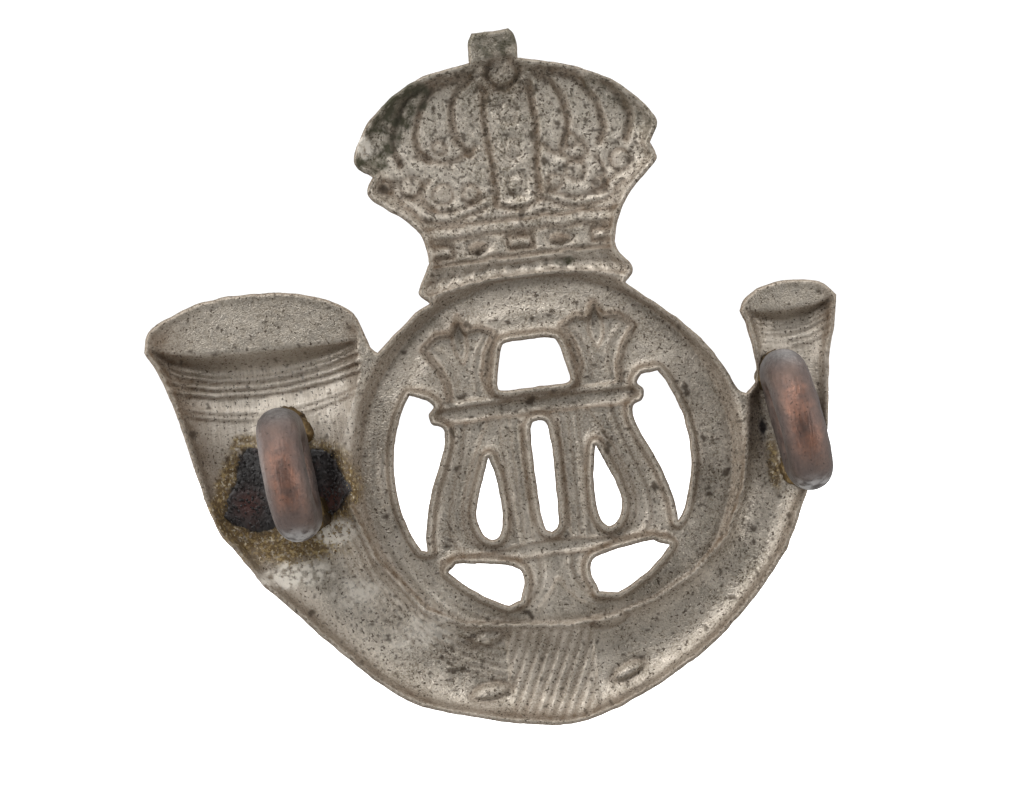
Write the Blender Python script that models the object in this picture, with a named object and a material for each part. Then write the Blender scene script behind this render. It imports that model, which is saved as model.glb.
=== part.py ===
"""Cap badge: a crowned bugle struck in white metal sheet, with two brazed copper loops.

+Z runs up through the crown. -Y is the back of the badge, where the loops stand.
The origin is the centre of the ring, on the plane of the back's rim.
Sizes in the lists below are millimetres; MM turns them into metres.
"""
import math

import bmesh
import bpy
import numpy as np
from mathutils import Matrix, Vector

MM = 0.001
GAP = 0.04                  # clearance between pieces that touch
SHEET = 0.9                 # thickness of the struck sheet
RIM = 0.35                  # flat width left round every edge
GRID_STEP = 0.78            # spacing of the relief's mesh
GRID_CENTRE = (-2.3, 4.9)   # middle of the square of sheet that is struck
GRID_SIDE = 42.0

RING_INNER = 8.75
RING_OUTER = 11.5
RING_DEPTH = 1.15
ORNAMENT_AXIS = -0.2        # the centre ornament's axis of symmetry
ORNAMENT_DEPTH = 0.55
CROWN_FOOT = 10.8           # height of the crown's lower edge on its axis
CROWN_FOOT_BEND = 0.02      # how that edge bends down towards its ends
CROWN_HALF_WIDTH = 9.2
CROWN_DEPTH = 1.25
FINIAL_FOOT = 23.3

# The bugle's middle line: x, z, half width and depth of the hollow.
BELL_STATIONS = [
    (-15.9, 9.6, 6.3, 2.3),
    (-15.6, 7.0, 5.7, 2.3),
    (-15.8, 4.5, 4.95, 2.2),
    (-15.9, 2.5, 4.3, 2.1),
]
# Where the tube wraps round the ring: angle, radius of its middle line, half width, depth.
TUBE_STATIONS = [
    (180, 15.65, 4.15, 2.0),
    (190, 15.0, 3.6, 1.9),
    (205, 14.0, 2.75, 1.8),
    (225, 13.5, 2.5, 1.7),
    (240, 12.95, 2.65, 1.6),
    (270, 12.2, 2.85, 1.5),
    (285, 12.0, 2.5, 1.4),
    (300, 12.05, 2.15, 1.3),
    (315, 12.3, 1.8, 1.2),
    (330, 12.85, 1.7, 1.1),
    (345, 13.2, 1.85, 1.1),
]
MOUTHPIECE_STATIONS = [
    (13.95, 0.0, 2.3, 1.1),
    (14.4, 2.6, 2.3, 1.2),
    (14.85, 4.5, 2.2, 1.3),
    (14.95, 6.0, 2.4, 1.3),
    (14.95, 7.6, 2.75, 1.3),
]

# The outline, clockwise from the left foot of the finial. Each run is one smooth curve,
# and the outline turns a corner where one run hands over to the next.
OUTLINE = [
    [(-1.66, 23.4), (-1.60, 24.5), (-1.30, 25.05)],
    [(-1.30, 25.05), (0.85, 25.1)],
    [(0.85, 25.1), (1.15, 24.6), (1.16, 23.35)],
    [(1.16, 23.35), (2.46, 23.05), (4.34, 22.5), (6.34, 21.5), (7.5, 20.5), (8.3, 19.5),
     (8.68, 18.7), (8.1, 17.6)],
    [(8.1, 17.6), (8.36, 17.0), (8.3, 16.5), (7.2, 15.5), (6.34, 14.5), (5.75, 13.4), (5.42, 12.2)],
    [(5.42, 12.2), (5.62, 11.5), (6.14, 10.9), (6.2, 10.3), (5.75, 9.75)],
    [(5.75, 9.75), (7.14, 8.55), (8.84, 7.0), (10.06, 5.5), (10.92, 4.0), (11.4, 2.9), (11.85, 2.6)],
    [(11.85, 2.6), (12.55, 3.3), (12.62, 4.5), (12.35, 6.4), (12.1, 7.35)],
    [(12.1, 7.35), (12.42, 8.0), (13.4, 8.55), (15.1, 8.78), (16.8, 8.47), (17.7, 7.6)],
    [(17.7, 7.6), (17.4, 6.0), (16.84, 4.0), (16.25, 0.0), (15.4, -2.1), (14.3, -4.2),
     (12.78, -7.0), (9.9, -10.1), (7.1, -12.2), (3.3, -14.1), (0.0, -15.05), (-2.8, -14.8),
     (-6.0, -14.0), (-9.65, -12.6), (-13.04, -9.5), (-15.7, -6.5), (-17.05, -5.1)],
    [(-17.05, -5.1), (-18.0, -3.5), (-19.3, -1.5), (-19.96, 1.0), (-20.6, 4.2), (-21.3, 7.0),
     (-22.25, 9.1)],
    [(-22.25, 9.1), (-21.7, 10.4), (-19.0, 11.5), (-16.15, 11.74), (-13.0, 11.4), (-10.3, 10.2),
     (-9.4, 8.3)],
    [(-9.4, 8.3), (-9.25, 7.8), (-8.95, 7.45)],
    [(-8.95, 7.45), (-7.72, 8.5), (-6.44, 9.5), (-5.6, 9.95)],
    [(-5.6, 9.95), (-6.14, 10.5), (-5.95, 11.1), (-5.35, 12.2)],
    [(-5.35, 12.2), (-5.5, 13.5), (-6.08, 14.5), (-7.24, 15.5), (-8.3, 16.4), (-8.3, 17.0),
     (-8.0, 17.5)],
    [(-8.0, 17.5), (-8.93, 18.6), (-8.0, 20.5), (-6.96, 21.5), (-5.52, 22.5), (-4.14, 23.0),
     (-1.66, 23.4)],
]

# Openings between ring and ornament, as distances from the ornament's axis and heights.
# Half of each middle opening, from its top to its bottom:
HALF_TOP_OPENING = [(0.0, 7.2), (1.3, 7.15), (1.65, 6.8), (1.95, 5.6), (2.1, 4.8), (1.8, 4.45), (0.0, 4.45)]
HALF_MIDDLE_SLOT = [(0.0, 2.5), (0.42, 2.3), (0.55, 1.2), (0.55, -1.0), (0.5, -2.8), (0.35, -3.7), (0.0, -3.95)]
# One of each pair of side openings:
TEARDROP = [(3.1, 0.7), (3.5, -0.3), (4.0, -1.6), (4.2, -2.7), (3.95, -3.6), (3.4, -4.05),
            (2.9, -3.6), (2.72, -2.5), (2.76, -1.1), (2.9, -0.1)]
CRESCENT_INNER_EDGE = [(7.3, -4.25), (7.2, -3.0), (6.85, -1.6), (6.35, -0.2), (5.85, 0.9), (5.5, 1.9), (5.5, 2.7),
                       (6.1, 3.0), (6.2, 3.6), (5.9, 4.0), (6.3, 4.5)]
CRESCENT_ANGLES = (33, -28)
CRESCENT_RADIUS = {-1: 8.85, 1: 8.3}     # the ring's inner edge is wider on the right
FOOT_OPENING_INNER_EDGE = [(2.3, -7.7), (1.95, -6.6), (2.3, -5.75), (4.2, -5.3), (6.0, -5.1)]
FOOT_OPENING_ANGLES = (-41, -68)
FOOT_OPENING_RADIUS = 8.5

WIRE_RADIUS = 1.25
LOOP_REACH = 7.4            # how far the loops stand behind the rim
LOOP_CORNER = 1.5           # bend of the wire's middle line at the foot
# Each loop: x and z of its middle, length, lean of its plane in degrees, depth of its seat.
LOOPS = {
    "bell_loop": (-14.62, 1.2, 7.7, 5.0, 1.8),
    "mouthpiece_loop": (14.3, 0.8, 8.2, 8.3, 0.9),
}
SEAT_SIDE = 1.1             # width of the flat pad on each side of the braze
SEAT_OVERLAP = 1.4          # length of the pad past each end of the loop
BRAZE_SIZE = {"bell_loop": (1.9, 0.95, 1.7), "mouthpiece_loop": (1.35, 0.9, 1.5)}

# Flat pads at the plane of the rim: lowest height, middle, half width, bend of the lower edge.
MOUTH_PADS = [
    (8.45, -15.8, 6.6, 0.02),
    (7.2, 14.95, 3.2, 0.03),
    (FINIAL_FOOT, -0.2, 1.6, 0.0),
]


def smooth_run(points, steps):
    """Points along a smooth curve through the given points, without the last one."""
    if len(points) == 2:
        return [points[0]]
    path = [Vector(point) for point in points]
    ends = [path[0] * 2 - path[1]] + path + [path[-1] * 2 - path[-2]]
    curve = []
    for before, start, end, after in zip(ends, ends[1:], ends[2:], ends[3:]):
        for step in range(steps):
            t = step / steps
            curve.append(tuple(
                0.5 * ((2 * start) + (end - before) * t
                       + (2 * before - 5 * start + 4 * end - after) * t ** 2
                       + (3 * start - before - 3 * end + after) * t ** 3)))
    return curve


def arc(radius, angles, steps):
    """Points on a circle about the ring's centre."""
    first, last = angles
    degrees = [first + (last - first) * step / steps for step in range(steps + 1)]
    return [(radius * math.cos(math.radians(a)), radius * math.sin(math.radians(a))) for a in degrees]


def on_axis(points, side):
    """Places points given from the ornament's axis, on its left (-1) or right (1) side."""
    return [(ORNAMENT_AXIS + side * x, z) for x, z in points]


def middle_opening(half):
    """A closed opening that is the same on both sides of the ornament's axis."""
    right = on_axis(half, 1)
    left = on_axis(half, -1)
    return smooth_run(right, 2) + smooth_run(left[::-1], 2)


def side_openings(side):
    """The three openings on one side of the ornament."""
    crescent = [(side * x, z) for x, z in arc(CRESCENT_RADIUS[side], CRESCENT_ANGLES, 12)]
    foot = [(side * x, z) for x, z in arc(FOOT_OPENING_RADIUS, FOOT_OPENING_ANGLES, 6)]
    return [
        crescent + smooth_run(on_axis(CRESCENT_INNER_EDGE, side), 2),
        foot + smooth_run(on_axis(FOOT_OPENING_INNER_EDGE, side), 2),
        on_axis(TEARDROP, side),
    ]


def closed_outlines():
    """The outer outline and every opening, each as a closed list of points."""
    outer = [point for run in OUTLINE for point in smooth_run(run, 3)]
    middle = [middle_opening(HALF_TOP_OPENING), middle_opening(HALF_MIDDLE_SLOT)]
    return [outer] + middle + side_openings(-1) + side_openings(1)


def bugle_stations():
    """The bugle's middle line from bell to mouthpiece, in x and z."""
    round_ring = []
    for angle, radius, half_width, depth in TUBE_STATIONS:
        turn = math.radians(angle)
        round_ring.append((radius * math.cos(turn), radius * math.sin(turn), half_width, depth))
    return BELL_STATIONS + round_ring + MOUTHPIECE_STATIONS


def distance_to_edges(x, z, outlines):
    """Shortest distance from each point to the outline or an opening's edge."""
    nearest = np.full(x.shape, 1e9)
    for outline in outlines:
        for (x0, z0), (x1, z1) in zip(outline, outline[1:] + outline[:1]):
            dx, dz = x1 - x0, z1 - z0
            t = np.clip(((x - x0) * dx + (z - z0) * dz) / (dx * dx + dz * dz), 0, 1)
            nearest = np.minimum(nearest, np.hypot(x - x0 - t * dx, z - z0 - t * dz))
    return nearest


def bugle_hollow(x, z):
    """Depth of the bugle's hollow, a rounded trough along its middle line."""
    stations = bugle_stations()
    nearest = np.full(x.shape, 1e9)
    hollow = np.zeros(x.shape)
    for (x0, z0, w0, d0), (x1, z1, w1, d1) in zip(stations, stations[1:]):
        dx, dz = x1 - x0, z1 - z0
        t = np.clip(((x - x0) * dx + (z - z0) * dz) / (dx * dx + dz * dz), 0, 1)
        offset = np.hypot(x - x0 - t * dx, z - z0 - t * dz)
        across = np.clip(offset / (w0 + (w1 - w0) * t), 0, 1)
        depth = (d0 + (d1 - d0) * t) * (1 - across ** 2.4) ** 0.8
        hollow = np.where(offset < nearest, depth, hollow)
        nearest = np.minimum(nearest, offset)
    return hollow


def relief(x, z, edge_distance):
    """How far the back of the sheet is sunk towards the front, at each point."""
    radius = np.hypot(x, z)
    across_ring = (radius - (RING_OUTER + RING_INNER) / 2) / ((RING_OUTER - RING_INNER) / 2)
    ring = RING_DEPTH * np.clip(1 - across_ring ** 2, 0, 1)
    ornament = ORNAMENT_DEPTH * np.clip(edge_distance / 0.9, 0, 1) * (radius < RING_INNER)
    in_crown = (z > CROWN_FOOT - CROWN_FOOT_BEND * x ** 2) & (np.abs(x) < CROWN_HALF_WIDTH) & (z > 9)
    crown = CROWN_DEPTH * (1 - np.exp(-edge_distance / 1.2)) * in_crown
    ring = np.where(in_crown, 0, ring)
    depth = np.maximum.reduce([ring, ornament, crown, bugle_hollow(x, z)])
    depth *= np.clip((edge_distance - RIM) / 0.5, 0, 1)
    for lowest, middle, reach, bend in MOUTH_PADS:
        on_pad = (z > lowest + bend * (x - middle) ** 2) & (np.abs(x - middle) < reach)
        depth[on_pad & (radius > RING_OUTER)] = 0
    for name, (x0, z0, length, lean, seat) in LOOPS.items():
        turn = math.radians(lean)
        half_width = BRAZE_SIZE[name][0] + SEAT_SIDE
        along = (z - z0) * math.cos(turn) - (x - x0) * math.sin(turn)
        aside = (x - x0) * math.cos(turn) + (z - z0) * math.sin(turn)
        on_seat = (along / (length / 2 + SEAT_OVERLAP)) ** 2 + (aside / half_width) ** 2 < 1
        depth[on_seat] = seat
    return depth


def collection(name):
    made = bpy.data.collections.new(name)
    bpy.context.scene.collection.children.link(made)
    return made


def material(name, colour, roughness):
    made = bpy.data.materials.new(name)
    made.use_nodes = True
    shader = made.node_tree.nodes["Principled BSDF"]
    shader.inputs["Base Color"].default_value = (*colour, 1)
    shader.inputs["Metallic"].default_value = 1.0
    shader.inputs["Roughness"].default_value = roughness
    return made


def add_object(name, mesh, group, finish=None):
    made = bpy.data.objects.new(name, mesh)
    group.objects.link(made)
    if finish:
        mesh.materials.append(finish)
        mesh.shade_smooth()
        mesh.set_sharp_from_angle(angle=math.radians(40))
    return made


def add_cutter(name, mesh):
    made = add_object(name, mesh, cutters)
    made.hide_render = True
    made.display_type = "WIRE"
    return made


def mesh_from_curve(curve, placed=Matrix()):
    """Turns a curve into a closed mesh whose caps are welded on."""
    source = bpy.data.objects.new(curve.name, curve)
    bpy.context.scene.collection.objects.link(source)
    graph = bpy.context.evaluated_depsgraph_get()
    mesh = bpy.data.meshes.new_from_object(source.evaluated_get(graph))
    bpy.data.objects.remove(source)
    solid = bmesh.new()
    solid.from_mesh(mesh)
    bmesh.ops.remove_doubles(solid, verts=solid.verts, dist=0.001 * MM)
    bmesh.ops.transform(solid, matrix=placed, verts=solid.verts)
    bmesh.ops.recalc_face_normals(solid, faces=solid.faces)
    solid.to_mesh(mesh)
    solid.free()
    return mesh


def boolean(piece, cutter, operation):
    cut = piece.modifiers.new(cutter.name, "BOOLEAN")
    cut.operation = operation
    cut.solver = "EXACT"
    cut.object = cutter


def clipping_die(outlines):
    """A block with the plate's outline and openings, used to clip the struck sheet."""
    curve = bpy.data.curves.new("clipping_die", "CURVE")
    curve.dimensions = "2D"
    curve.fill_mode = "BOTH"
    curve.extrude = 6 * MM
    for outline in outlines:
        spline = curve.splines.new("POLY")
        spline.points.add(len(outline) - 1)
        spline.use_cyclic_u = True
        for point, (x, z) in zip(spline.points, outline):
            point.co = (x * MM, z * MM, 0, 1)
    return add_cutter("clipping_die", mesh_from_curve(curve, Matrix.Rotation(math.pi / 2, 4, "X")))


def struck_sheet(outlines):
    """A sheet pushed into relief, with its front face SHEET in front of its back."""
    squares = round(GRID_SIDE / GRID_STEP)
    solid = bmesh.new()
    bmesh.ops.create_grid(solid, x_segments=squares, y_segments=squares, size=GRID_SIDE / 2)
    flat = np.array([vert.co for vert in solid.verts])
    x = flat[:, 0] + GRID_CENTRE[0]
    z = flat[:, 1] + GRID_CENTRE[1]
    y = relief(x, z, distance_to_edges(x, z, outlines))
    for vert, place in zip(solid.verts, np.column_stack([x, y, z]) * MM):
        vert.co = place
    front = bmesh.ops.extrude_face_region(solid, geom=solid.faces)["geom"]
    moved = [item for item in front if isinstance(item, bmesh.types.BMVert)]
    bmesh.ops.translate(solid, verts=moved, vec=(0, SHEET * MM, 0))
    bmesh.ops.recalc_face_normals(solid, faces=solid.faces)
    mesh = bpy.data.meshes.new("badge_plate")
    solid.to_mesh(mesh)
    solid.free()
    return mesh


def make_plate():
    outlines = closed_outlines()
    plate = add_object("badge_plate", struck_sheet(outlines), badge, white_metal)
    boolean(plate, clipping_die(outlines), "INTERSECT")


def loop_placement(name):
    """Loop frame: X across the wire, Y away from the plate's front, Z along the foot."""
    x, z, _, lean, seat = LOOPS[name]
    turned = Matrix.Rotation(math.radians(-lean), 4, "Y")
    return Matrix.Translation(Vector((x, seat, z)) * MM) @ turned


def loop_wire(name, radius, resolution):
    """A D-shaped ring of wire: a round bow, straight legs and a flat foot on the seat."""
    _, _, length, _, seat = LOOPS[name]
    bow = length / 2 - WIRE_RADIUS
    foot = -(WIRE_RADIUS + GAP)
    top = -(seat + LOOP_REACH - WIRE_RADIUS)
    points = []
    for step in range(15):
        turn = math.pi * step / 14
        points.append((top + bow - bow * math.sin(turn), bow * math.cos(turn)))
    for end in (-1, 1):
        for step in range(5):
            turn = math.pi / 2 * (step / 4 if end == -1 else 1 - step / 4)
            points.append((foot - LOOP_CORNER * (1 - math.sin(turn)),
                           end * (bow - LOOP_CORNER * (1 - math.cos(turn)))))
    curve = bpy.data.curves.new(name, "CURVE")
    curve.dimensions = "3D"
    curve.bevel_depth = radius * MM
    curve.bevel_resolution = resolution
    curve.render_resolution_u = 0
    spline = curve.splines.new("POLY")
    spline.points.add(len(points) - 1)
    spline.use_cyclic_u = True
    for point, (y, z) in zip(spline.points, points):
        point.co = (0, y * MM, z * MM, 1)
    return mesh_from_curve(curve, loop_placement(name))


def make_braze(loop_name, end, label):
    """A run of braze: a low dome on the seat, hollowed where the wire passes through it."""
    length = LOOPS[loop_name][2]
    middle = Vector((0, -GAP * MM, end * (length / 2 - WIRE_RADIUS - 0.2) * MM))
    solid = bmesh.new()
    bmesh.ops.create_uvsphere(solid, u_segments=20, v_segments=12, radius=MM)
    bmesh.ops.scale(solid, vec=BRAZE_SIZE[loop_name], verts=solid.verts)
    cut = bmesh.ops.bisect_plane(
        solid, geom=solid.verts[:] + solid.edges[:] + solid.faces[:], dist=1e-7,
        plane_co=(0, 0, 0), plane_no=(0, 1, 0), clear_outer=True)
    rim = [item for item in cut["geom_cut"] if isinstance(item, bmesh.types.BMEdge)]
    bmesh.ops.edgeloop_fill(solid, edges=rim)
    placed = loop_placement(loop_name) @ Matrix.Translation(middle)
    bmesh.ops.transform(solid, matrix=placed, verts=solid.verts)
    bmesh.ops.recalc_face_normals(solid, faces=solid.faces)
    mesh = bpy.data.meshes.new(f"{loop_name}_{label}_braze")
    solid.to_mesh(mesh)
    solid.free()
    return add_object(mesh.name, mesh, badge, braze_metal)


def make_loop(name):
    add_object(name, loop_wire(name, WIRE_RADIUS, 3), badge, copper)
    channel = add_cutter(f"{name}_channel", loop_wire(name, WIRE_RADIUS + GAP, 3))
    for end, label in ((1, "upper"), (-1, "lower")):
        boolean(make_braze(name, end, label), channel, "DIFFERENCE")


for leftover in list(bpy.data.objects):
    bpy.data.objects.remove(leftover)

badge = collection("cap_badge")
cutters = collection("cutters")
white_metal = material("white_metal", (0.42, 0.39, 0.34), 0.45)
copper = material("copper", (0.32, 0.20, 0.17), 0.4)
braze_metal = material("braze_metal", (0.30, 0.22, 0.11), 0.5)

make_plate()
for loop in LOOPS:
    make_loop(loop)
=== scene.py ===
"""Cap badge, seen from its back: a crowned bugle struck in white metal, with two copper loops."""
import math

import bmesh
import bpy
import numpy as np
from mathutils import Matrix, Vector, geometry, noise


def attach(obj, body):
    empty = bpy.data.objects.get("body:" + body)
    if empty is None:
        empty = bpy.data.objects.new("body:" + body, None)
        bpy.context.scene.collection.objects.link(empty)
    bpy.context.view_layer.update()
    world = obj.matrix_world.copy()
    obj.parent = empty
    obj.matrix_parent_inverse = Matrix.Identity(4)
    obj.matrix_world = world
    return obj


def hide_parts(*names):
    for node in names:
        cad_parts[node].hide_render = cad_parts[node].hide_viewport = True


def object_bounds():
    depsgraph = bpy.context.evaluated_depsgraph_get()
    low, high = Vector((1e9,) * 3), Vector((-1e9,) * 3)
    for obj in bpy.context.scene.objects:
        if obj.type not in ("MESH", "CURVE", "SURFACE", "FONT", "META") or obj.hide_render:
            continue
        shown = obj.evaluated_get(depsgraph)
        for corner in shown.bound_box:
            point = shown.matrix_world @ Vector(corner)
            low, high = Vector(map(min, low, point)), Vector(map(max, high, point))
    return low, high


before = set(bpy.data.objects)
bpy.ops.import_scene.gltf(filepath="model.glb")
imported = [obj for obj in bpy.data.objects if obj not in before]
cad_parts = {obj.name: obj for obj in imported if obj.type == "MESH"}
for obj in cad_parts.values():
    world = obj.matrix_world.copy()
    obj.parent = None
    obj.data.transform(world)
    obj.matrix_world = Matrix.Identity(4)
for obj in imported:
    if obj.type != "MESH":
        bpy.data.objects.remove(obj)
cad_low, cad_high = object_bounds()

# ---------------------------------------------------------------- camera
# The badge is looked at square on to its back from 200 mm, close enough that the loops
# lean out a little. The camera is turned so that the crown tips to the left.
MM = 0.001
VIEW_DISTANCE = 200 * MM
VIEW_WIDTH = 58.8 * MM       # width of the view at the plane of the rim
VIEW_CENTRE = Vector((-1.55, 0, 4.22)) * MM
TURN = math.radians(7)

camera_data = bpy.data.cameras.new("camera")
camera_data.lens = camera_data.sensor_width * VIEW_DISTANCE / VIEW_WIDTH
camera_data.clip_start = 0.01
camera_data.clip_end = 10
camera = bpy.data.objects.new("camera", camera_data)
camera.location = VIEW_CENTRE + Vector((0, -VIEW_DISTANCE, 0))
up = Vector((math.sin(TURN), 0, math.cos(TURN)))
camera.matrix_world = Matrix((
    (up.z, up.x, 0, camera.location.x),
    (0, 0, -1, camera.location.y),
    (-up.x, up.z, 0, camera.location.z),
    (0, 0, 0, 1)))
bpy.context.scene.collection.objects.link(camera)
bpy.context.scene.camera = camera

# ---------------------------------------------------------------- struck plate
# One sheet of nickel silver, struck between dies and then clipped and pierced. Its back
# shows every raised part of the front as a hollow. Outline and hollows are in millimetres,
# x to the right and z up as seen from the back, from the middle of the ring.
SHEET = 0.9
MESH_STEP = 0.144
EDGE_ROUNDING = 0.2
ORNAMENT_AXIS = -0.2

OUTLINE = [
    [(-1.66, 23.4), (-1.60, 24.5), (-1.30, 25.05)],
    [(-1.30, 25.05), (0.85, 25.1)],
    [(0.85, 25.1), (1.15, 24.6), (1.16, 23.35)],
    [(1.16, 23.35), (2.46, 23.05), (4.34, 22.5), (6.34, 21.5), (7.5, 20.5), (8.3, 19.5),
     (8.68, 18.7), (8.1, 17.6)],
    [(8.1, 17.6), (8.36, 17.0), (8.3, 16.5), (7.2, 15.5), (6.34, 14.5), (5.75, 13.4), (5.42, 12.2)],
    [(5.42, 12.2), (5.62, 11.5), (6.14, 10.9), (6.2, 10.3), (5.75, 9.75)],
    [(5.75, 9.75), (7.14, 8.55), (8.84, 7.0), (10.06, 5.5), (10.92, 4.0), (11.4, 2.9), (11.85, 2.6)],
    [(11.85, 2.6), (12.55, 3.3), (12.62, 4.5), (12.35, 6.4), (12.1, 7.35)],
    [(12.1, 7.35), (12.42, 8.0), (13.4, 8.55), (15.1, 8.78), (16.8, 8.47), (17.7, 7.6)],
    [(17.7, 7.6), (17.4, 6.0), (16.84, 4.0), (16.25, 0.0), (15.4, -2.1), (14.3, -4.2),
     (12.78, -7.0), (9.9, -10.1), (7.1, -12.2), (3.3, -14.1), (0.0, -15.05), (-2.8, -14.8),
     (-6.0, -14.0), (-9.65, -12.6), (-13.04, -9.5), (-15.7, -6.5), (-17.05, -5.1)],
    [(-17.05, -5.1), (-18.0, -3.5), (-19.3, -1.5), (-19.96, 1.0), (-20.6, 4.2), (-21.3, 7.0),
     (-22.25, 9.1)],
    [(-22.25, 9.1), (-21.7, 10.4), (-19.0, 11.5), (-16.15, 11.74), (-13.0, 11.4), (-10.3, 10.2),
     (-9.4, 8.3)],
    [(-9.4, 8.3), (-9.25, 7.8), (-8.95, 7.45)],
    [(-8.95, 7.45), (-7.72, 8.5), (-6.44, 9.5), (-5.6, 9.95)],
    [(-5.6, 9.95), (-6.14, 10.5), (-5.95, 11.1), (-5.35, 12.2)],
    [(-5.35, 12.2), (-5.5, 13.5), (-6.08, 14.5), (-7.24, 15.5), (-8.3, 16.4), (-8.3, 17.0),
     (-8.0, 17.5)],
    [(-8.0, 17.5), (-8.93, 18.6), (-8.0, 20.5), (-6.96, 21.5), (-5.52, 22.5), (-4.14, 23.0),
     (-1.66, 23.4)],
]
# Openings, as distances from the ornament's axis and heights.
HALF_TOP_OPENING = [(0.0, 7.2), (1.3, 7.15), (1.65, 6.8), (1.95, 5.6), (2.1, 4.8), (1.8, 4.45), (0.0, 4.45)]
HALF_MIDDLE_SLOT = [(0.0, 2.5), (0.42, 2.3), (0.55, 1.2), (0.55, -1.0), (0.5, -2.8), (0.35, -3.7),
                    (0.0, -3.95)]
TEARDROP = [(3.1, 0.7), (3.5, -0.3), (4.0, -1.6), (4.2, -2.7), (3.95, -3.6), (3.4, -4.05),
            (2.9, -3.6), (2.72, -2.5), (2.76, -1.1), (2.9, -0.1), (3.1, 0.7)]
CRESCENT_INNER_EDGE = [(7.3, -4.25), (7.2, -3.0), (6.85, -1.6), (6.35, -0.2), (5.85, 0.9), (5.5, 1.9),
                       (5.5, 2.7), (6.1, 3.0), (6.2, 3.6), (5.9, 4.0), (6.3, 4.5)]
CRESCENT_ANGLES = (33, -28)
CRESCENT_RADIUS = {-1: 8.85, 1: 8.3}
FOOT_OPENING_INNER_EDGE = [(2.3, -7.7), (1.95, -6.6), (2.3, -5.75), (4.2, -5.3), (6.0, -5.1)]
FOOT_OPENING_ANGLES = (-41, -68)
FOOT_OPENING_RADIUS = 8.5


def smooth_run(points, steps):
    """Points along a smooth curve through the given points, without the last one."""
    if len(points) == 2:
        return [points[0]]
    path = [Vector(point) for point in points]
    ends = [path[0] * 2 - path[1]] + path + [path[-1] * 2 - path[-2]]
    curve = []
    for before, start, end, after in zip(ends, ends[1:], ends[2:], ends[3:]):
        for step in range(steps):
            t = step / steps
            curve.append(tuple(
                0.5 * ((2 * start) + (end - before) * t
                       + (2 * before - 5 * start + 4 * end - after) * t ** 2
                       + (3 * start - before - 3 * end + after) * t ** 3)))
    return curve


def even_steps(points, step):
    """The same closed line with its points a step apart."""
    line = []
    for start, end in zip(points, points[1:] + points[:1]):
        pieces = max(1, round(math.dist(start, end) / step))
        for piece in range(pieces):
            t = piece / pieces
            line.append((start[0] + (end[0] - start[0]) * t, start[1] + (end[1] - start[1]) * t))
    return line


def arc(radius, angles, steps=24):
    """Points on a circle about the ring's middle."""
    first, last = angles
    degrees = [first + (last - first) * step / steps for step in range(steps + 1)]
    return [(radius * math.cos(math.radians(a)), radius * math.sin(math.radians(a))) for a in degrees]


def mirrored(points, side):
    """Points given from the ornament's axis, on its left (-1) or right (1) side."""
    return [(ORNAMENT_AXIS + side * x, z) for x, z in points]


def off_line(points, coarse, fine, pitch, seeds):
    """The points moved a little off a true line: coarse and fine seeds for x, then for z."""
    def shift(x, z, first, second):
        return coarse * noise.noise((x * pitch, z * pitch, first)) + fine * noise.noise((x * 5, z * 5, second))

    return [(x + shift(x, z, *seeds[:2]), z + shift(x, z, *seeds[2:])) for x, z in points]


def plate_edges():
    """The outline and every opening, each a closed line of points."""
    edges = [[point for run in OUTLINE for point in smooth_run(run, 8)]]
    for half in (HALF_TOP_OPENING, HALF_MIDDLE_SLOT):
        edges.append(smooth_run(mirrored(half, 1), 6) + smooth_run(mirrored(half, -1)[::-1], 6))
    for side in (-1, 1):
        crescent = [(side * x, z) for x, z in arc(CRESCENT_RADIUS[side], CRESCENT_ANGLES)]
        foot = [(side * x, z) for x, z in arc(FOOT_OPENING_RADIUS, FOOT_OPENING_ANGLES)]
        edges.append(crescent + smooth_run(mirrored(CRESCENT_INNER_EDGE, side), 6))
        edges.append(foot + smooth_run(mirrored(FOOT_OPENING_INNER_EDGE, side), 6))
        edges.append(smooth_run(mirrored(TEARDROP, side), 5))
    return [off_line(even_steps(edge, MESH_STEP * 1.1), 0.05, 0.02, 1.3, (0, 1, 7, 8)) for edge in edges]


def distance_to(x, z, lines, closed=True):
    """Shortest distance from each place to any of the lines."""
    nearest = np.full(x.shape, 1e9)
    for line in lines:
        nexts = line[1:] + line[:1] if closed else line[1:]
        for (x0, z0), (x1, z1) in zip(line, nexts):
            dx, dz = x1 - x0, z1 - z0
            t = np.clip(((x - x0) * dx + (z - z0) * dz) / (dx * dx + dz * dz + 1e-12), 0, 1)
            nearest = np.minimum(nearest, (x - x0 - t * dx) ** 2 + (z - z0 - t * dz) ** 2)
    return np.sqrt(nearest)


def inside(x, z, lines):
    """True where a place is on metal: inside the outline and in none of the openings."""
    within = np.zeros(x.shape, bool)
    for line in lines:
        for (x0, z0), (x1, z1) in zip(line, line[1:] + line[:1]):
            if z0 != z1:
                within ^= ((z0 > z) != (z1 > z)) & (x < (x1 - x0) * (z - z0) / (z1 - z0) + x0)
    return within


def on_line(x, z, points, width):
    """1 on a smooth line through the points, falling to 0 about two widths away."""
    line = smooth_run(points, 6) + [points[-1]]
    low = np.min(line, axis=0) - 3 * width
    high = np.max(line, axis=0) + 3 * width
    near = (x > low[0]) & (x < high[0]) & (z > low[1]) & (z < high[1])
    close = np.zeros(x.shape)
    close[near] = np.exp(-(distance_to(x[near], z[near], [line], closed=False) / width) ** 2)
    return close


def on_ring(x, z, centre, radii, width):
    """1 on an ellipse about the centre, falling to 0 either side of it."""
    across = np.hypot((x - centre[0]) / radii[0], (z - centre[1]) / radii[1])
    return np.exp(-((across - 1) * min(radii) / width) ** 2)


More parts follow.
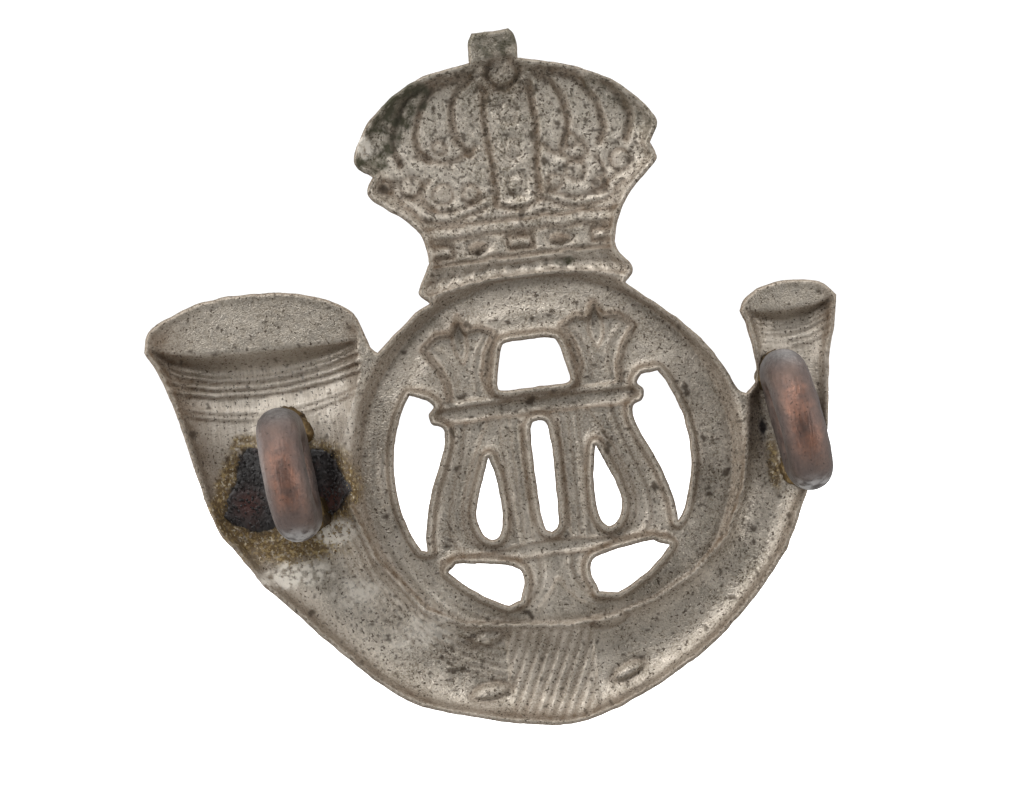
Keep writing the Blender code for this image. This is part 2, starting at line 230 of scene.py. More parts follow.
def dome(x, z, centre, radii):
    """A rounded bump on an ellipse: 1 in the middle and 0 at its edge."""
    across = ((x - centre[0]) / radii[0]) ** 2 + ((z - centre[1]) / radii[1]) ** 2
    return np.sqrt(np.clip(1 - across, 0, 1))


def step_up(value, start, end):
    """Smoothly from 0 at start to 1 at end."""
    t = np.clip((value - start) / (end - start), 0, 1)
    return t * t * (3 - 2 * t)


def near(value, middle, width):
    """1 where the value is at the middle, falling to 0 about two widths away."""
    return np.exp(-((value - middle) / width) ** 2)


def spot(x, z, middle, radii, fade, uneven=0):
    """1 in an oval spot, fading to 0 between two distances given in radii from its middle."""
    return 1 - step_up(np.hypot((x - middle[0]) / radii[0], (z - middle[1]) / radii[1]) + uneven, *fade)


def turned(x, z, middle, degrees):
    """Distances from a middle along the x and z axes, turned anticlockwise by an angle."""
    turn = math.radians(degrees)
    dx, dz = x - middle[0], z - middle[1]
    return dx * math.cos(turn) + dz * math.sin(turn), dz * math.cos(turn) - dx * math.sin(turn)


def wobble(x, z, scale, seed):
    """Smooth unevenness, about -1 to 1, of a given scale in millimetres."""
    return np.array([noise.noise((px / scale, pz / scale, seed)) for px, pz in zip(x, z)])


# The bugle's middle line: x, z, half width and depth of the hollow. The tube's stretch
# round the ring is given as angle, radius, half width and depth.
BELL = [(-15.9, 9.6, 6.3, 2.3), (-15.6, 7.0, 5.7, 2.3), (-15.8, 4.5, 4.95, 2.2), (-15.9, 2.5, 4.3, 2.1)]
TUBE = [(180, 15.65, 4.15, 2.0), (190, 15.0, 3.6, 1.9), (205, 14.0, 2.75, 1.8), (225, 13.5, 2.5, 1.7),
        (240, 12.95, 2.65, 1.6), (270, 12.2, 2.85, 1.5), (285, 12.0, 2.5, 1.4), (300, 12.05, 2.15, 1.3),
        (315, 12.3, 1.8, 1.2), (330, 12.85, 1.7, 1.1), (345, 13.2, 1.85, 1.1)]
MOUTHPIECE = [(13.95, 0.0, 2.3, 1.1), (14.4, 2.6, 2.3, 1.2), (14.85, 4.5, 2.2, 1.3),
              (14.95, 6.0, 2.4, 1.3), (14.95, 7.6, 2.75, 1.3)]
# Lower edge of each mouth's flat, and foot of the step below it, as x and z.
BELL_FLAT = [(-21.8, 9.35), (-20.8, 8.95), (-19.0, 8.68), (-17.0, 8.58), (-12.0, 8.42), (-10.2, 8.4),
             (-9.4, 8.65)]
BELL_STEP = [(-21.6, 8.7), (-20.5, 8.0), (-18.6, 7.45), (-16.0, 7.22), (-14.3, 7.28), (-11.8, 7.7),
             (-9.4, 8.4)]
MOUTH_FLAT = [(12.1, 7.5), (13.5, 7.25), (15.0, 7.2), (16.5, 7.3), (17.7, 7.6)]
MOUTH_STEP = [(12.1, 7.2), (13.2, 6.6), (14.6, 6.4), (16.0, 6.6), (17.7, 7.4)]
# Ridges rolled round the bell: how far below the step, height and width. Then two fainter
# lines, as z on the bell's axis and height, and the corners that are painted darker.
BELL_AXIS = -15.8
BELL_RIDGES = [(0.36, 0.26, 0.12), (0.8, 0.42, 0.15), (1.2, 0.36, 0.12)]
BELL_LINES = [(4.95, 0.22), (4.6, 0.16)]
BELL_CORNERS = [(-10.0, 8.95), (-21.4, 9.75)]
MOUTH_RIDGES = [(0.3, 0.1), (0.62, 0.16), (1.05, 0.14), (1.4, 0.1)]


def bugle(x, z):
    """Hollow of the bugle: its depth, and the place across it, -1 outside to 1 at the ring."""
    stations = list(BELL)
    for angle, radius, width, deep in TUBE:
        turn = math.radians(angle)
        stations.append((radius * math.cos(turn), radius * math.sin(turn), width, deep))
    stations += MOUTHPIECE
    nearest = np.full(x.shape, 1e9)
    across = np.full(x.shape, 9.0)
    deepest = np.zeros(x.shape)
    for (x0, z0, w0, d0), (x1, z1, w1, d1) in zip(stations, stations[1:]):
        dx, dz = x1 - x0, z1 - z0
        t = np.clip(((x - x0) * dx + (z - z0) * dz) / (dx * dx + dz * dz), 0, 1)
        off_x, off_z = x - x0 - t * dx, z - z0 - t * dz
        offset = np.hypot(off_x, off_z)
        side = np.sign(off_z * dx - off_x * dz)
        closer = offset < nearest
        across = np.where(closer, side * offset / (w0 + (w1 - w0) * t), across)
        deepest = np.where(closer, d0 + (d1 - d0) * t, deepest)
        nearest = np.minimum(nearest, offset)
    return deepest, across


def strike_mouth(z, hollow, grime_and_shade, in_mouth, flat, step, flat_depth, painted_shade, painted_shade_width):
    """The flat across a mouth and the step down from it, with painted shade on the step."""
    below = step_up(flat - z, 0.0, np.maximum(flat - step, 0.2))
    hollow = np.where(in_mouth & (z > step - 0.3), flat_depth + (hollow - flat_depth) * below, hollow)
    grime_and_shade = grime_and_shade + in_mouth * painted_shade * near(z, (flat + step) / 2, painted_shade_width) * (below > 0.02)
    return hollow, grime_and_shade


def strike_bugle(x, z):
    """The bugle's hollow with its mouths and ridges: depth, grime with painted shade, and place across it."""
    deepest, across = bugle(x, z)
    hollow = deepest * np.clip(1 - np.abs(across) ** 2.6, 0, 1) ** 0.75
    # Painted shade down the outer wall, broader towards both ends of the bugle, and a thin dark line along the
    # inner edge.
    wall = 0.13 + 0.13 * step_up(np.abs(x + 1), 8, 14)
    grime_and_shade = 0.75 * near(across, -0.92, wall) + 0.3 * near(across, 0.9, 0.08)
    for px, pz in BELL_CORNERS:
        grime_and_shade += 0.85 * near(np.hypot(x - px, z - pz), 0, 0.45)
    flat = np.interp(x, *zip(*BELL_FLAT))
    step = np.interp(x, *zip(*BELL_STEP))
    in_bell = (x < -8.9) & (z > 3.4) & (np.abs(across) < 1.15)
    hollow, grime_and_shade = strike_mouth(z, hollow, grime_and_shade, in_bell, flat, step, 0.12, 0.42, 0.42)
    # Each ridge and fainter line on the bell and the mouth has painted shade along its lower side.
    for drop, height, width in BELL_RIDGES:
        line = z - step + drop * (1 + 0.008 * (x - BELL_AXIS) ** 2)
        hollow -= height * near(line, 0, width) * in_bell
        grime_and_shade += 0.9 * near(line, -0.2, 0.1) * in_bell
    aside = x - BELL_AXIS - 0.1
    for height_on_axis, height in BELL_LINES:
        line = z - height_on_axis - 0.032 * aside ** 2
        hollow -= height * near(line, 0, 0.12) * in_bell * step_up(np.abs(aside), 0.2, 1.5)
        grime_and_shade += 0.6 * near(line, -0.17, 0.1) * in_bell
    flat = np.interp(x, *zip(*MOUTH_FLAT))
    step = np.interp(x, *zip(*MOUTH_STEP))
    in_mouth = (x > 11.9) & (z > 4.4)
    hollow, grime_and_shade = strike_mouth(z, hollow, grime_and_shade, in_mouth, flat, step, 0.1, 0.35, 0.3)
    for drop, height in MOUTH_RIDGES:
        line = z - step + drop
        hollow -= height * near(line, 0, 0.11) * in_mouth
        grime_and_shade += 0.4 * near(line, -0.17, 0.08) * in_mouth
    lip = near(across, 1.0, 0.05) * (z < 8.3) * (x < 11)
    return np.maximum(hollow, 0) - 0.12 * lip, grime_and_shade, across


# The binding at the bottom of the tube: a wrapped ferrule, as its two ends, between four
# short leaves, each as middle, half length and half width, and tilt.
FERRULE = (-3.55, 1.3)
FERRULE_TURN = 0.62
LEAVES = [((-4.75, -9.7), (0.95, 0.34), 8), ((-4.85, -12.75), (1.05, 0.4), 5),
          ((2.5, -9.45), (0.95, 0.34), 10), ((3.2, -12.5), (1.0, 0.36), 22)]


def strike_binding(x, z, across, hollow, grime_and_shade):
    """Adds the binding to the tube's hollow and to its grime and painted shade."""
    left, right = FERRULE
    on_ferrule = step_up(x, left - 0.2, left + 0.1) * (1 - step_up(x, right - 0.1, right + 0.2))
    on_ferrule *= (z < -8.9) * step_up(1 - np.abs(across), 0.02, 0.25)
    turns = np.cos((x + 0.02 * z * z) * 2 * math.pi / FERRULE_TURN)
    hollow -= on_ferrule * (0.16 + 0.055 * turns)
    grime_and_shade += on_ferrule * (0.3 - 0.3 * turns)
    for centre, size, tilt in LEAVES:
        along, aside = turned(x, z, centre, tilt)
        border = (size[0] * 1.08, size[1] * 1.3)
        hollow += 0.08 * on_ring(along, aside, (0, 0), border, 0.12) - 0.3 * dome(along, aside, (0, 0), size)
        grime_and_shade += 0.6 * on_ring(along, aside, (0, 0), border, 0.1)
    return hollow, grime_and_shade


# Across the ring: radius and depth, from the ornament to its outer rim. Then the crown's
# lower edge, as its height on the axis and how it bends down towards its ends.
RING_SECTION = [(8.2, 0.62), (8.8, 0.68), (9.3, 0.8), (9.8, 0.88), (10.3, 0.92), (10.7, 1.0),
                (10.95, 0.76), (11.25, 0.34), (11.6, 0.1)]
CROWN_FOOT = 10.84
CROWN_FOOT_BEND = 0.019


def strike_ring(x, z, edge):
    """The ring's hollow, and the grime and painted shade along its two edges."""
    radius = np.hypot(x, z) + 0.05 * wobble(x, z, 1.5, 35)
    hollow = np.interp(radius, *zip(*RING_SECTION))
    hollow += 0.03 * np.cos(radius * 2 * math.pi / 0.55) * (x < -2) * (z < 2) * (radius < 10.6)
    grime_and_shade = 0.7 * near(radius, 10.78, 0.2) + 0.6 * near(radius, 11.25, 0.22)
    grime_and_shade += 0.55 * near(edge, 0.42, 0.15) * (radius < 9.4)
    return hollow, grime_and_shade


# The centre ornament, half of it, from its axis: a lyre. Two curved arms, strings between
# them, a flat bar across, a base on a splayed foot, and above the bar the arms' flared
# tips, which lap over the ring. A leaf is its middle, half width and half length, and tilt.
STRINGS = [[(0.98, 2.8), (1.0, -0.5), (0.95, -4.2)], [(1.52, 2.8), (1.55, -0.5), (1.45, -4.3)],
           [(2.1, 2.8), (2.15, -0.5), (2.0, -4.3)]]
ARM_LINES = [
    [(4.1, 2.8), (4.5, 1.2), (5.1, -0.5), (5.6, -2.2), (5.7, -3.6), (5.2, -4.6)],
    [(2.75, 2.8), (3.6, 1.3), (4.4, -0.6), (4.85, -2.3), (4.7, -3.7), (4.0, -4.5)],
    [(0.85, -5.4), (0.8, -6.4), (1.3, -7.5), (2.5, -8.3)],
    [(0.0, -6.7), (0.35, -7.4), (1.0, -8.1), (1.9, -8.6)],
]
BAR_LINES = [
    [(0.0, 3.78), (2.5, 3.8), (4.6, 3.75), (6.2, 3.75)],
    [(0.0, 2.9), (2.2, 2.9), (4.4, 2.85), (6.0, 2.9)],
    [(0.0, -4.4), (2.2, -4.6), (4.6, -4.85), (6.6, -4.95)],
    [(0.0, -5.25), (1.8, -5.35), (3.2, -5.2)],
]
TIP_EDGE = [(2.35, 3.9), (2.8, 5.4), (2.55, 6.6), (1.95, 7.75), (2.75, 8.25), (3.5, 8.1), (3.95, 8.95),
            (4.4, 8.1), (5.3, 8.05), (6.15, 7.3), (5.4, 6.2), (5.0, 5.2), (4.95, 3.9)]
TIP_LINES = [
    [(3.35, 4.6), (3.35, 5.9), (3.0, 6.9), (2.6, 7.6)],
    [(4.4, 4.6), (4.45, 5.9), (4.8, 6.8), (5.4, 7.3)],
]
TIP_LEAF = ((3.95, 7.45), (0.42, 1.25), 2)


def strike_leaf(side, z, middle, size, tilt):
    """How far outside a pointed leaf each place is, and the leaf's hollow with its rib."""
    aside, along = turned(side, z, middle, -tilt)
    bend = (size[0] ** 2 + size[1] ** 2) / (2 * size[0])
    beyond = np.hypot(np.abs(aside) + bend - size[0], along) - bend
    across = np.clip(-beyond / size[0], 0, 1)
    rise = np.sqrt(1 - (1 - across) ** 2)
    return beyond, rise * (0.3 - 0.12 * np.exp(-(aside / 0.1) ** 2))


def moved(line, aside, up=0):
    return [(px + aside, pz + up) for px, pz in line]


def strike_ornament(x, z, edge, ring_hollow, ring_grime_and_shade):
    """The lyre's hollow, and its grime and painted shade, run into the ring's at their border."""
    side = np.abs(x - ORNAMENT_AXIS) + 0.06 * wobble(x, z, 0.9, 31)
    high = z + 0.06 * wobble(x, z, 0.9, 34)
    in_body = step_up(8.8 - np.hypot(x, z), 0.0, 0.5)
    hollow = 0.66 * (1 - np.exp(-(edge / 0.42) ** 1.5))
    grime_and_shade = 0.75 * near(edge, 0.46, 0.15)
    # Beside each string and arm line, on its outer side, runs a line of painted shade.
    for lines, rise, width, shift, painted_shade, painted_shade_width in (
            (STRINGS, 0.13, 0.13, 0.14, 0.5, 0.09), (ARM_LINES, 0.12, 0.14, 0.12, 0.6, 0.12)):
        for line in lines:
            hollow -= rise * on_line(side, high, line, width)
            grime_and_shade += painted_shade * on_line(side, high, moved(line, shift), painted_shade_width)
    bar = step_up(high, 2.86, 2.98) * (1 - step_up(high, 3.7, 3.82)) * (side < 6.4)
    hollow = hollow * (1 - bar) + bar * 0.85 * (1 - np.exp(-edge / 0.3))
    for line in BAR_LINES:
        close = on_line(side, high, line, 0.12)
        hollow -= 0.12 * close
        grime_and_shade += 0.8 * close
    hollow = hollow * in_body + ring_hollow * (1 - in_body)
    grime_and_shade = grime_and_shade * in_body + ring_grime_and_shade * (1 - in_body)
    away = distance_to(side, high, [TIP_EDGE])
    on_tip = inside(side, high, [TIP_EDGE]) * (high > 3.9)
    floor = np.minimum(0.75 * (1 - np.exp(-edge / 0.35)), 0.5 + 0.4 * (1 - np.exp(-away / 0.35)))
    hollow = np.where(on_tip, floor, hollow) - 0.14 * near(away, 0.05, 0.13) * (high > 4.1)
    grime_and_shade = np.where(on_tip, 0.0, grime_and_shade) + 0.85 * near(away, 0.1, 0.17) * (high > 4.1)
    for line in TIP_LINES:
        hollow -= 0.08 * on_line(side, high, line, 0.11)
        grime_and_shade += 0.45 * on_line(side, high, line, 0.1)
    beyond, leaf = strike_leaf(side, high, *TIP_LEAF)
    return hollow + leaf, grime_and_shade + 0.7 * near(beyond, 0.02, 0.1)


# The crown, drawn on its own axis: arches that meet under an orb and a plain block, a row
# of round bosses, swags, and a band of square and oval settings over a rolled foot.
ARCH_LINES = [
    [(-1.1, 22.0), (-1.22, 19.8), (-1.05, 17.4), (-1.1, 15.3)],
    [(1.55, 21.9), (1.68, 19.8), (1.5, 17.3), (1.42, 15.3)],
    [(-1.6, 22.5), (-2.7, 21.7), (-3.12, 20.2), (-2.8, 18.9), (-2.3, 18.2)],
    [(-2.1, 22.7), (-4.2, 21.9), (-5.1, 20.4), (-5.25, 19.0), (-4.7, 18.1)],
    [(2.0, 22.4), (3.0, 21.7), (3.5, 20.3), (3.5, 19.1), (3.1, 18.2)],
    [(2.4, 22.6), (4.2, 21.9), (5.2, 20.5), (5.6, 19.0), (5.2, 18.1)],
    [(-3.2, 22.75), (-5.2, 22.0), (-6.3, 20.7), (-6.6, 19.2), (-6.3, 18.0)],
    [(3.3, 22.7), (5.4, 22.0), (6.6, 20.7), (7.1, 19.2), (6.8, 18.0)],
]
SWAGS = [
    [(-6.2, 15.6), (-5.0, 14.65), (-3.4, 14.5), (-1.7, 15.05)],
    [(-6.0, 16.2), (-4.8, 15.3), (-3.4, 15.1), (-1.8, 15.6)],
    [(-1.1, 15.1), (0.2, 14.75), (1.5, 15.1)],
    [(1.8, 15.05), (3.4, 14.5), (5.0, 14.65), (6.3, 15.6)],
    [(1.9, 15.6), (3.4, 15.1), (4.8, 15.3), (6.1, 16.2)],
]
LEAF_CURLS = [
    [(-4.85, 17.0), (-5.3, 16.4), (-5.1, 15.7), (-4.8, 15.35)],
    [(-5.3, 18.35), (-4.2, 18.0), (-2.9, 18.05), (-1.9, 18.65)],
    [(5.0, 17.3), (5.3, 16.5), (5.25, 15.4)],
    [(-6.7, 17.2), (-7.0, 16.6), (-6.5, 16.0)],
    [(3.0, 17.6), (3.9, 17.1), (4.5, 17.6), (4.2, 18.3)],
    [(2.0, 18.3), (2.6, 17.8), (3.2, 18.0)],
]
BAND_LINES = [
    [(-6.2, 14.15), (0.0, 14.2), (6.2, 14.15)],
    [(-5.8, 13.38), (0.0, 13.5), (5.9, 13.38)],
    [(-5.5, 11.95), (0.0, 12.1), (5.6, 11.95)],
]
BOSSES = [(-3.95, 18.85, 0.42), (3.65, 18.35, 0.42), (-5.85, 16.75, 0.62), (-4.1, 16.1, 0.6),
          (-2.5, 16.0, 0.5), (2.45, 16.1, 0.45), (3.7, 16.6, 0.6), (6.35, 16.9, 0.6),
          (-7.2, 16.9, 0.35), (4.95, 15.6, 0.45)]
BEADS = (-5.35, 13.84, 0.63, 18)        # a row: first x, z, step and number
STRAP_JEWELS = (16.2, 18.3, 20.4)       # heights on the middle strap
SQUARES = [(-4.65, 12.75), (0.04, 12.86), (4.85, 12.75)]
SQUARE_HALF = (0.72, 0.36)
OVALS = [(-2.45, 12.82), (2.35, 12.8)]
ORB = (0.15, 22.75)
BAND_FOOT = 11.95
FINIAL_FOOT = 23.3


def strike_crown(x, z, edge):
    """The crown's hollow, and its grime and painted shade, from its rolled foot to the block on top."""
    x, z = x + 0.13 * wobble(x, z, 1.1, 32), z + 0.13 * wobble(x, z, 1.1, 33)
    foot = CROWN_FOOT - CROWN_FOOT_BEND * x ** 2
    hollow = np.where(z < 14.2, 0.7 * (1 - np.exp(-edge / 0.45)), 1.15 * (1 - np.exp(-edge / 0.9)))
    grime_and_shade = 0.35 * near(edge, 0.55, 0.2)
    strap = step_up(x, -1.1, -0.8) * (1 - step_up(x, 1.2, 1.5))
    hollow += 0.1 * strap * step_up(z, 15.1, 15.4) * (1 - step_up(z, 21.6, 22.0))
    for line in ARCH_LINES:
        hollow += 0.2 * on_line(x, z, line, 0.2) - 0.1 * on_line(x, z, moved(line, 0.38), 0.16)
        grime_and_shade += 1.2 * on_line(x, z, line, 0.23)
    for line in SWAGS + BAND_LINES:
        hollow += 0.09 * on_line(x, z, line, 0.14) - 0.04 * on_line(x, z, moved(line, 0, 0.28), 0.13)
        grime_and_shade += 0.85 * on_line(x, z, line, 0.17)
    for px, pz, radius in BOSSES:
        border = on_ring(x, z, (px, pz), (radius, radius), 0.15)
        middle = dome(x, z, (px, pz), (radius, radius))
        hollow += 0.1 * border - 0.04 * middle
        grime_and_shade += 0.8 * border + 0.3 * middle
    for line in LEAF_CURLS:
        close = on_line(x, z, line, 0.2)
        hollow += 0.14 * close
        grime_and_shade += 0.9 * close
    lumps = np.maximum(wobble(x, z, 0.7, 37), 0) * step_up(z, 14.6, 15.2) * (1 - step_up(z, 17.6, 19.6))
    hollow -= 0.14 * lumps * step_up(np.abs(x), 1.6, 2.4) * step_up(edge, 0.3, 0.8)
    first, height, step, number = BEADS
    for bead in range(number):
        hollow += 0.07 * dome(x, z, (first + bead * step, height), (0.27, 0.24))
    for height in STRAP_JEWELS:
        hollow += 0.1 * on_ring(x, z, (0.25, height), (0.5, 0.62), 0.14)
        grime_and_shade += 0.3 * on_ring(x, z, (0.25, height), (0.5, 0.62), 0.13)
    half_width, half_height = SQUARE_HALF
    for px, pz in SQUARES:
        border = [(px + side * half_width, pz + end * half_height)
                  for side, end in ((-1, -1), (1, -1), (1, 1), (-1, 1))]
        away = distance_to(x, z, [border])
        hollow += 0.17 * near(away, 0, 0.14) - 0.13 * inside(x, z, [border]) * step_up(away, 0.05, 0.3)
        grime_and_shade += near(away, 0, 0.15)
    for px, pz in OVALS:
        hollow += 0.16 * on_ring(x, z, (px, pz), (0.68, 0.38), 0.13)
        hollow -= 0.14 * dome(x, z, (px, pz), (0.62, 0.34))
        grime_and_shade += 0.85 * np.exp(-(np.hypot((x - px) / 0.75, (z - pz) / 0.45) / 0.9) ** 4)
    hollow += 0.2 * on_ring(x, z, ORB, (0.95, 0.95), 0.17) - 0.16 * dome(x, z, ORB, (0.9, 0.9))
    grime_and_shade += on_ring(x, z, ORB, (0.93, 0.93), 0.22) + 0.35 * dome(x, z, ORB, (0.9, 0.9))
    # A band of painted shade under the orb.
    grime_and_shade += 0.55 * near(z, 21.6, 0.3) * (x > -1.1) * (x < 1.6)
    roll = np.clip((z - foot) / (BAND_FOOT - foot), 0, 1)
    twist = 0.07 * np.cos(2 * math.pi * (x + 0.9 * (z - foot) * np.sign(x)) / 0.95)
    rolled = 0.15 + (0.45 + twist) * np.sin(math.pi * roll) * (1 - np.exp(-edge / 0.3))
    hollow = np.where(z < BAND_FOOT, rolled, hollow)
    grime_and_shade += 0.5 * near(z, foot + 0.16, 0.12) + 0.5 * near(z, foot + 0.8, 0.1)
    finial = step_up(z, FINIAL_FOOT - 0.1, FINIAL_FOOT + 0.25)
    return hollow * (1 - finial) + 0.06 * finial, np.clip(grime_and_shade, 0, 1.2) * (1 - 0.5 * finial)


# Flat seats pressed under the loops' feet: middle, half width, half length, lean, depth.
SEATS = {
    "bell_loop": ((-14.62, 1.2), 2.3, 4.9, 5.0, 1.8),
    "mouthpiece_loop": ((14.3, 0.8), 1.75, 4.9, 8.3, 0.9),
}
# Streaks where the metal flowed along the tube's inner side: radius and height.
TUBE_STREAKS = [(11.0, 0.16), (11.45, 0.1), (11.9, 0.12), (12.35, 0.08), (12.75, 0.07)]


def strike(x, z, edge):
    """Depth of the back's hollows and the grime and painted shade lying in them, at each place."""
    ring, ring_grime_and_shade = strike_ring(x, z, edge)
    ring, ring_grime_and_shade = strike_ornament(x, z, edge, ring, ring_grime_and_shade)
    tube, tube_grime_and_shade, across = strike_bugle(x, z)
    tube, tube_grime_and_shade = strike_binding(x, z, across, tube, tube_grime_and_shade)
    on_tube = step_up(1.03 - np.abs(across), 0.0, 0.06)
    depth = ring * (1 - on_tube) + tube * on_tube
    grime_and_shade = ring_grime_and_shade * (1 - on_tube) + tube_grime_and_shade * on_tube
    flow = np.hypot(x, z) + 0.12 * wobble(x, z, 1.4, 36)
    streaked = on_tube * step_up(-x, 3.0, 4.5)
    # Beside each streak runs a line of painted shade.
    for radius, height in TUBE_STREAKS:
        depth -= height * near(flow, radius, 0.11) * streaked * step_up(-z, 0.5, 2.0)
        grime_and_shade += 0.4 * near(flow, radius + 0.2, 0.1) * streaked * (z < -1)
    grime_and_shade += 0.7 * near(across, 1.04, 0.04) * (z < 3) * (np.hypot(x, z) < 12.6)
    crown, crown_grime_and_shade = strike_crown(x, z, edge)
    foot = CROWN_FOOT - CROWN_FOOT_BEND * x ** 2
    in_crown = step_up(z, foot - 0.06, foot + 0.06) * (np.abs(x) < 9.2) * (z > 9.5)
    depth = depth * (1 - in_crown) + crown * in_crown
    grime_and_shade = grime_and_shade * (1 - in_crown) + crown_grime_and_shade * in_crown
    depth = np.maximum(depth, 0.02) * step_up(edge, 0.12, 0.5)
    for middle, half_width, half_length, lean, seat in SEATS.values():
        aside, along = turned(x, z, middle, lean)
        depth += (seat - depth) * spot(aside, along, (0, 0), (half_width, half_length), (0.75, 1.1))
    # Along the outline the metal is painted dark: grime, and painted shade that dims the rounded edge.
    grime_and_shade = grime_and_shade * step_up(edge, 0.05, 0.35) + 0.85 * (1 - step_up(edge, 0.02, 0.2))
    return depth, np.clip(grime_and_shade, 0, 1)


def scatter_in(lines, step):
    """Places on the metal in a triangular pattern, a step apart."""
    low = np.min(lines[0], axis=0)
    high = np.max(lines[0], axis=0)
    rows = np.arange(low[1], high[1], step * math.sqrt(3) / 2)
    columns = np.arange(low[0], high[0], step)
    x, z = np.meshgrid(columns, rows)
    x = (x + (np.arange(len(rows)) % 2)[:, None] * step / 2).ravel()
    z = z.ravel()
    keep = inside(x, z, lines)
    x, z = x[keep], z[keep]
    clear = distance_to(x, z, lines) > step * 0.55
    return x[clear], z[clear]


def triangles_between(lines, x, z):
    """Fills the lines with triangles through the given places: points, triangles."""
    points = [Vector(point) for line in lines for point in line]
    borders = []
    start = 0
    for line in lines:
        borders += [(start + i, start + (i + 1) % len(line)) for i in range(len(line))]
        start += len(line)
    points += [Vector(place) for place in zip(x, z)]
    found = geometry.delaunay_2d_cdt(points, borders, [], 0, 1e-6)
    flat = np.array([tuple(point) for point in found[0]])
    corners = np.array([face for face in found[2] if len(face) == 3])
    middle = flat[corners].mean(axis=1)
    corners = corners[inside(middle[:, 0], middle[:, 1], lines)]
    a, b, c = flat[corners[:, 0]], flat[corners[:, 1]], flat[corners[:, 2]]
    area = (b[:, 0] - a[:, 0]) * (c[:, 1] - a[:, 1]) - (b[:, 1] - a[:, 1]) * (c[:, 0] - a[:, 0])
    corners[area < 0] = corners[area < 0][:, ::-1]
    return flat, corners[np.abs(area) > 1e-7]


def give_values(mesh, values):
    """Stores named values, one for each point of the mesh, for its finish to read."""
    for label, value in values.items():
        layer = mesh.attributes.new(label, "FLOAT", "POINT")
        layer.data.foreach_set("value", value.astype(np.float32))


def read_points(mesh, kind):
    """Each point's place, "co", or the way it faces, "normal", as rows of x, y and z."""
    values = np.zeros(len(mesh.vertices) * 3)
    mesh.vertices.foreach_get(kind, values)
    return values.reshape(-1, 3)


def add_object(name, data):
    made = bpy.data.objects.new(name, data)
    bpy.context.scene.collection.objects.link(made)
    return made


def sheet_mesh(name, flat, corners, back, front, values):
    """A closed sheet from a flat pattern: its back and front heights, and values on each side."""
    count = len(flat)
    place = np.vstack([np.column_stack([flat[:, 0], back, flat[:, 1]]),
                       np.column_stack([flat[:, 0], front, flat[:, 1]])]) * MM
    pairs = np.vstack([corners[:, [0, 1]], corners[:, [1, 2]], corners[:, [2, 0]]])
    keys = pairs.min(axis=1) * count + pairs.max(axis=1)
    _, first, times = np.unique(keys, return_index=True, return_counts=True)
    border = pairs[first[times == 1]]
    walls = [(b, a, a + count, b + count) for a, b in border]
    faces = corners.tolist() + (corners[:, ::-1] + count).tolist() + walls
    mesh = bpy.data.meshes.new(name)
    mesh.from_pydata(place.tolist(), [], faces)
    give_values(mesh, {label: np.concatenate(pair) for label, pair in values.items()})
    mesh.update()
    mesh.shade_smooth()
    return mesh


# Where the bell loop's joint was overheated: the outline of the burnt flux.
FLUX_EDGE = [(-18.9, -0.5), (-18.5, 0.3), (-18.0, 1.2), (-17.6, 2.5), (-16.8, 2.9), (-15.6, 2.3),
             (-13.8, 2.2), (-13.2, 2.4), (-12.4, 2.0), (-11.9, 1.0), (-11.5, -0.2), (-12.2, -1.0),
             (-13.0, -1.6), (-15.0, -1.8), (-16.6, -1.9), (-17.9, -1.7), (-18.7, -1.1), (-18.9, -0.5)]
# Dark stains along the crown's two shoulders, and a bare white patch within the left one.
LEFT_STAIN = [(-7.9, 18.5), (-7.3, 19.5), (-6.5, 20.6), (-5.1, 21.9)]
RIGHT_STAIN = [(5.4, 21.5), (6.8, 20.3), (8.0, 18.6)]
BARE_PATCH = (-8.25, 19.3)
# Places painted bright, partly rubbed metal and partly painted highlight, and places with white powder:
# strength, middle, radii, fade.
RUBBED_AND_HIGHLIT_SPOTS = [
    (1.0, (-12.2, 4.4), (1.9, 3.4), (0.6, 1.1)), (0.9, (-15.6, 5.0), (5.0, 3.4), (0.6, 1.1)),
    (0.7, (14.9, 4.0), (2.6, 2.6), (0.6, 1.1)), (0.25, (12.0, -4.6), (1.4, 2.4), (0.6, 1.2)),
    (0.4, (-10.5, -7.6), (4.5, 3.0), (0.5, 1.2)),
]
CHALKY_SPOTS = [
    (1.0, (-15.2, -4.7), (2.6, 0.9), (0.5, 1.0)), (1.0, (-12.6, -2.5), (1.5, 0.9), (0.6, 1.0)),
    (0.6, (-12.0, -6.2), (2.0, 1.2), (0.4, 1.0)), (0.5, (-8.3, -9.0), (2.4, 1.3), (0.4, 1.0)),
]
# How much of each stain, and of the painted shade and painted highlight, the front shows too.
FRONT_SHARE = {"grime_and_shade": 0.8, "soot": 0, "scale": 0, "tarnish": 0.2, "eaten": 0.35, "pits": 0.5,
               "polish_and_highlight": 0.2, "chalk": 0}


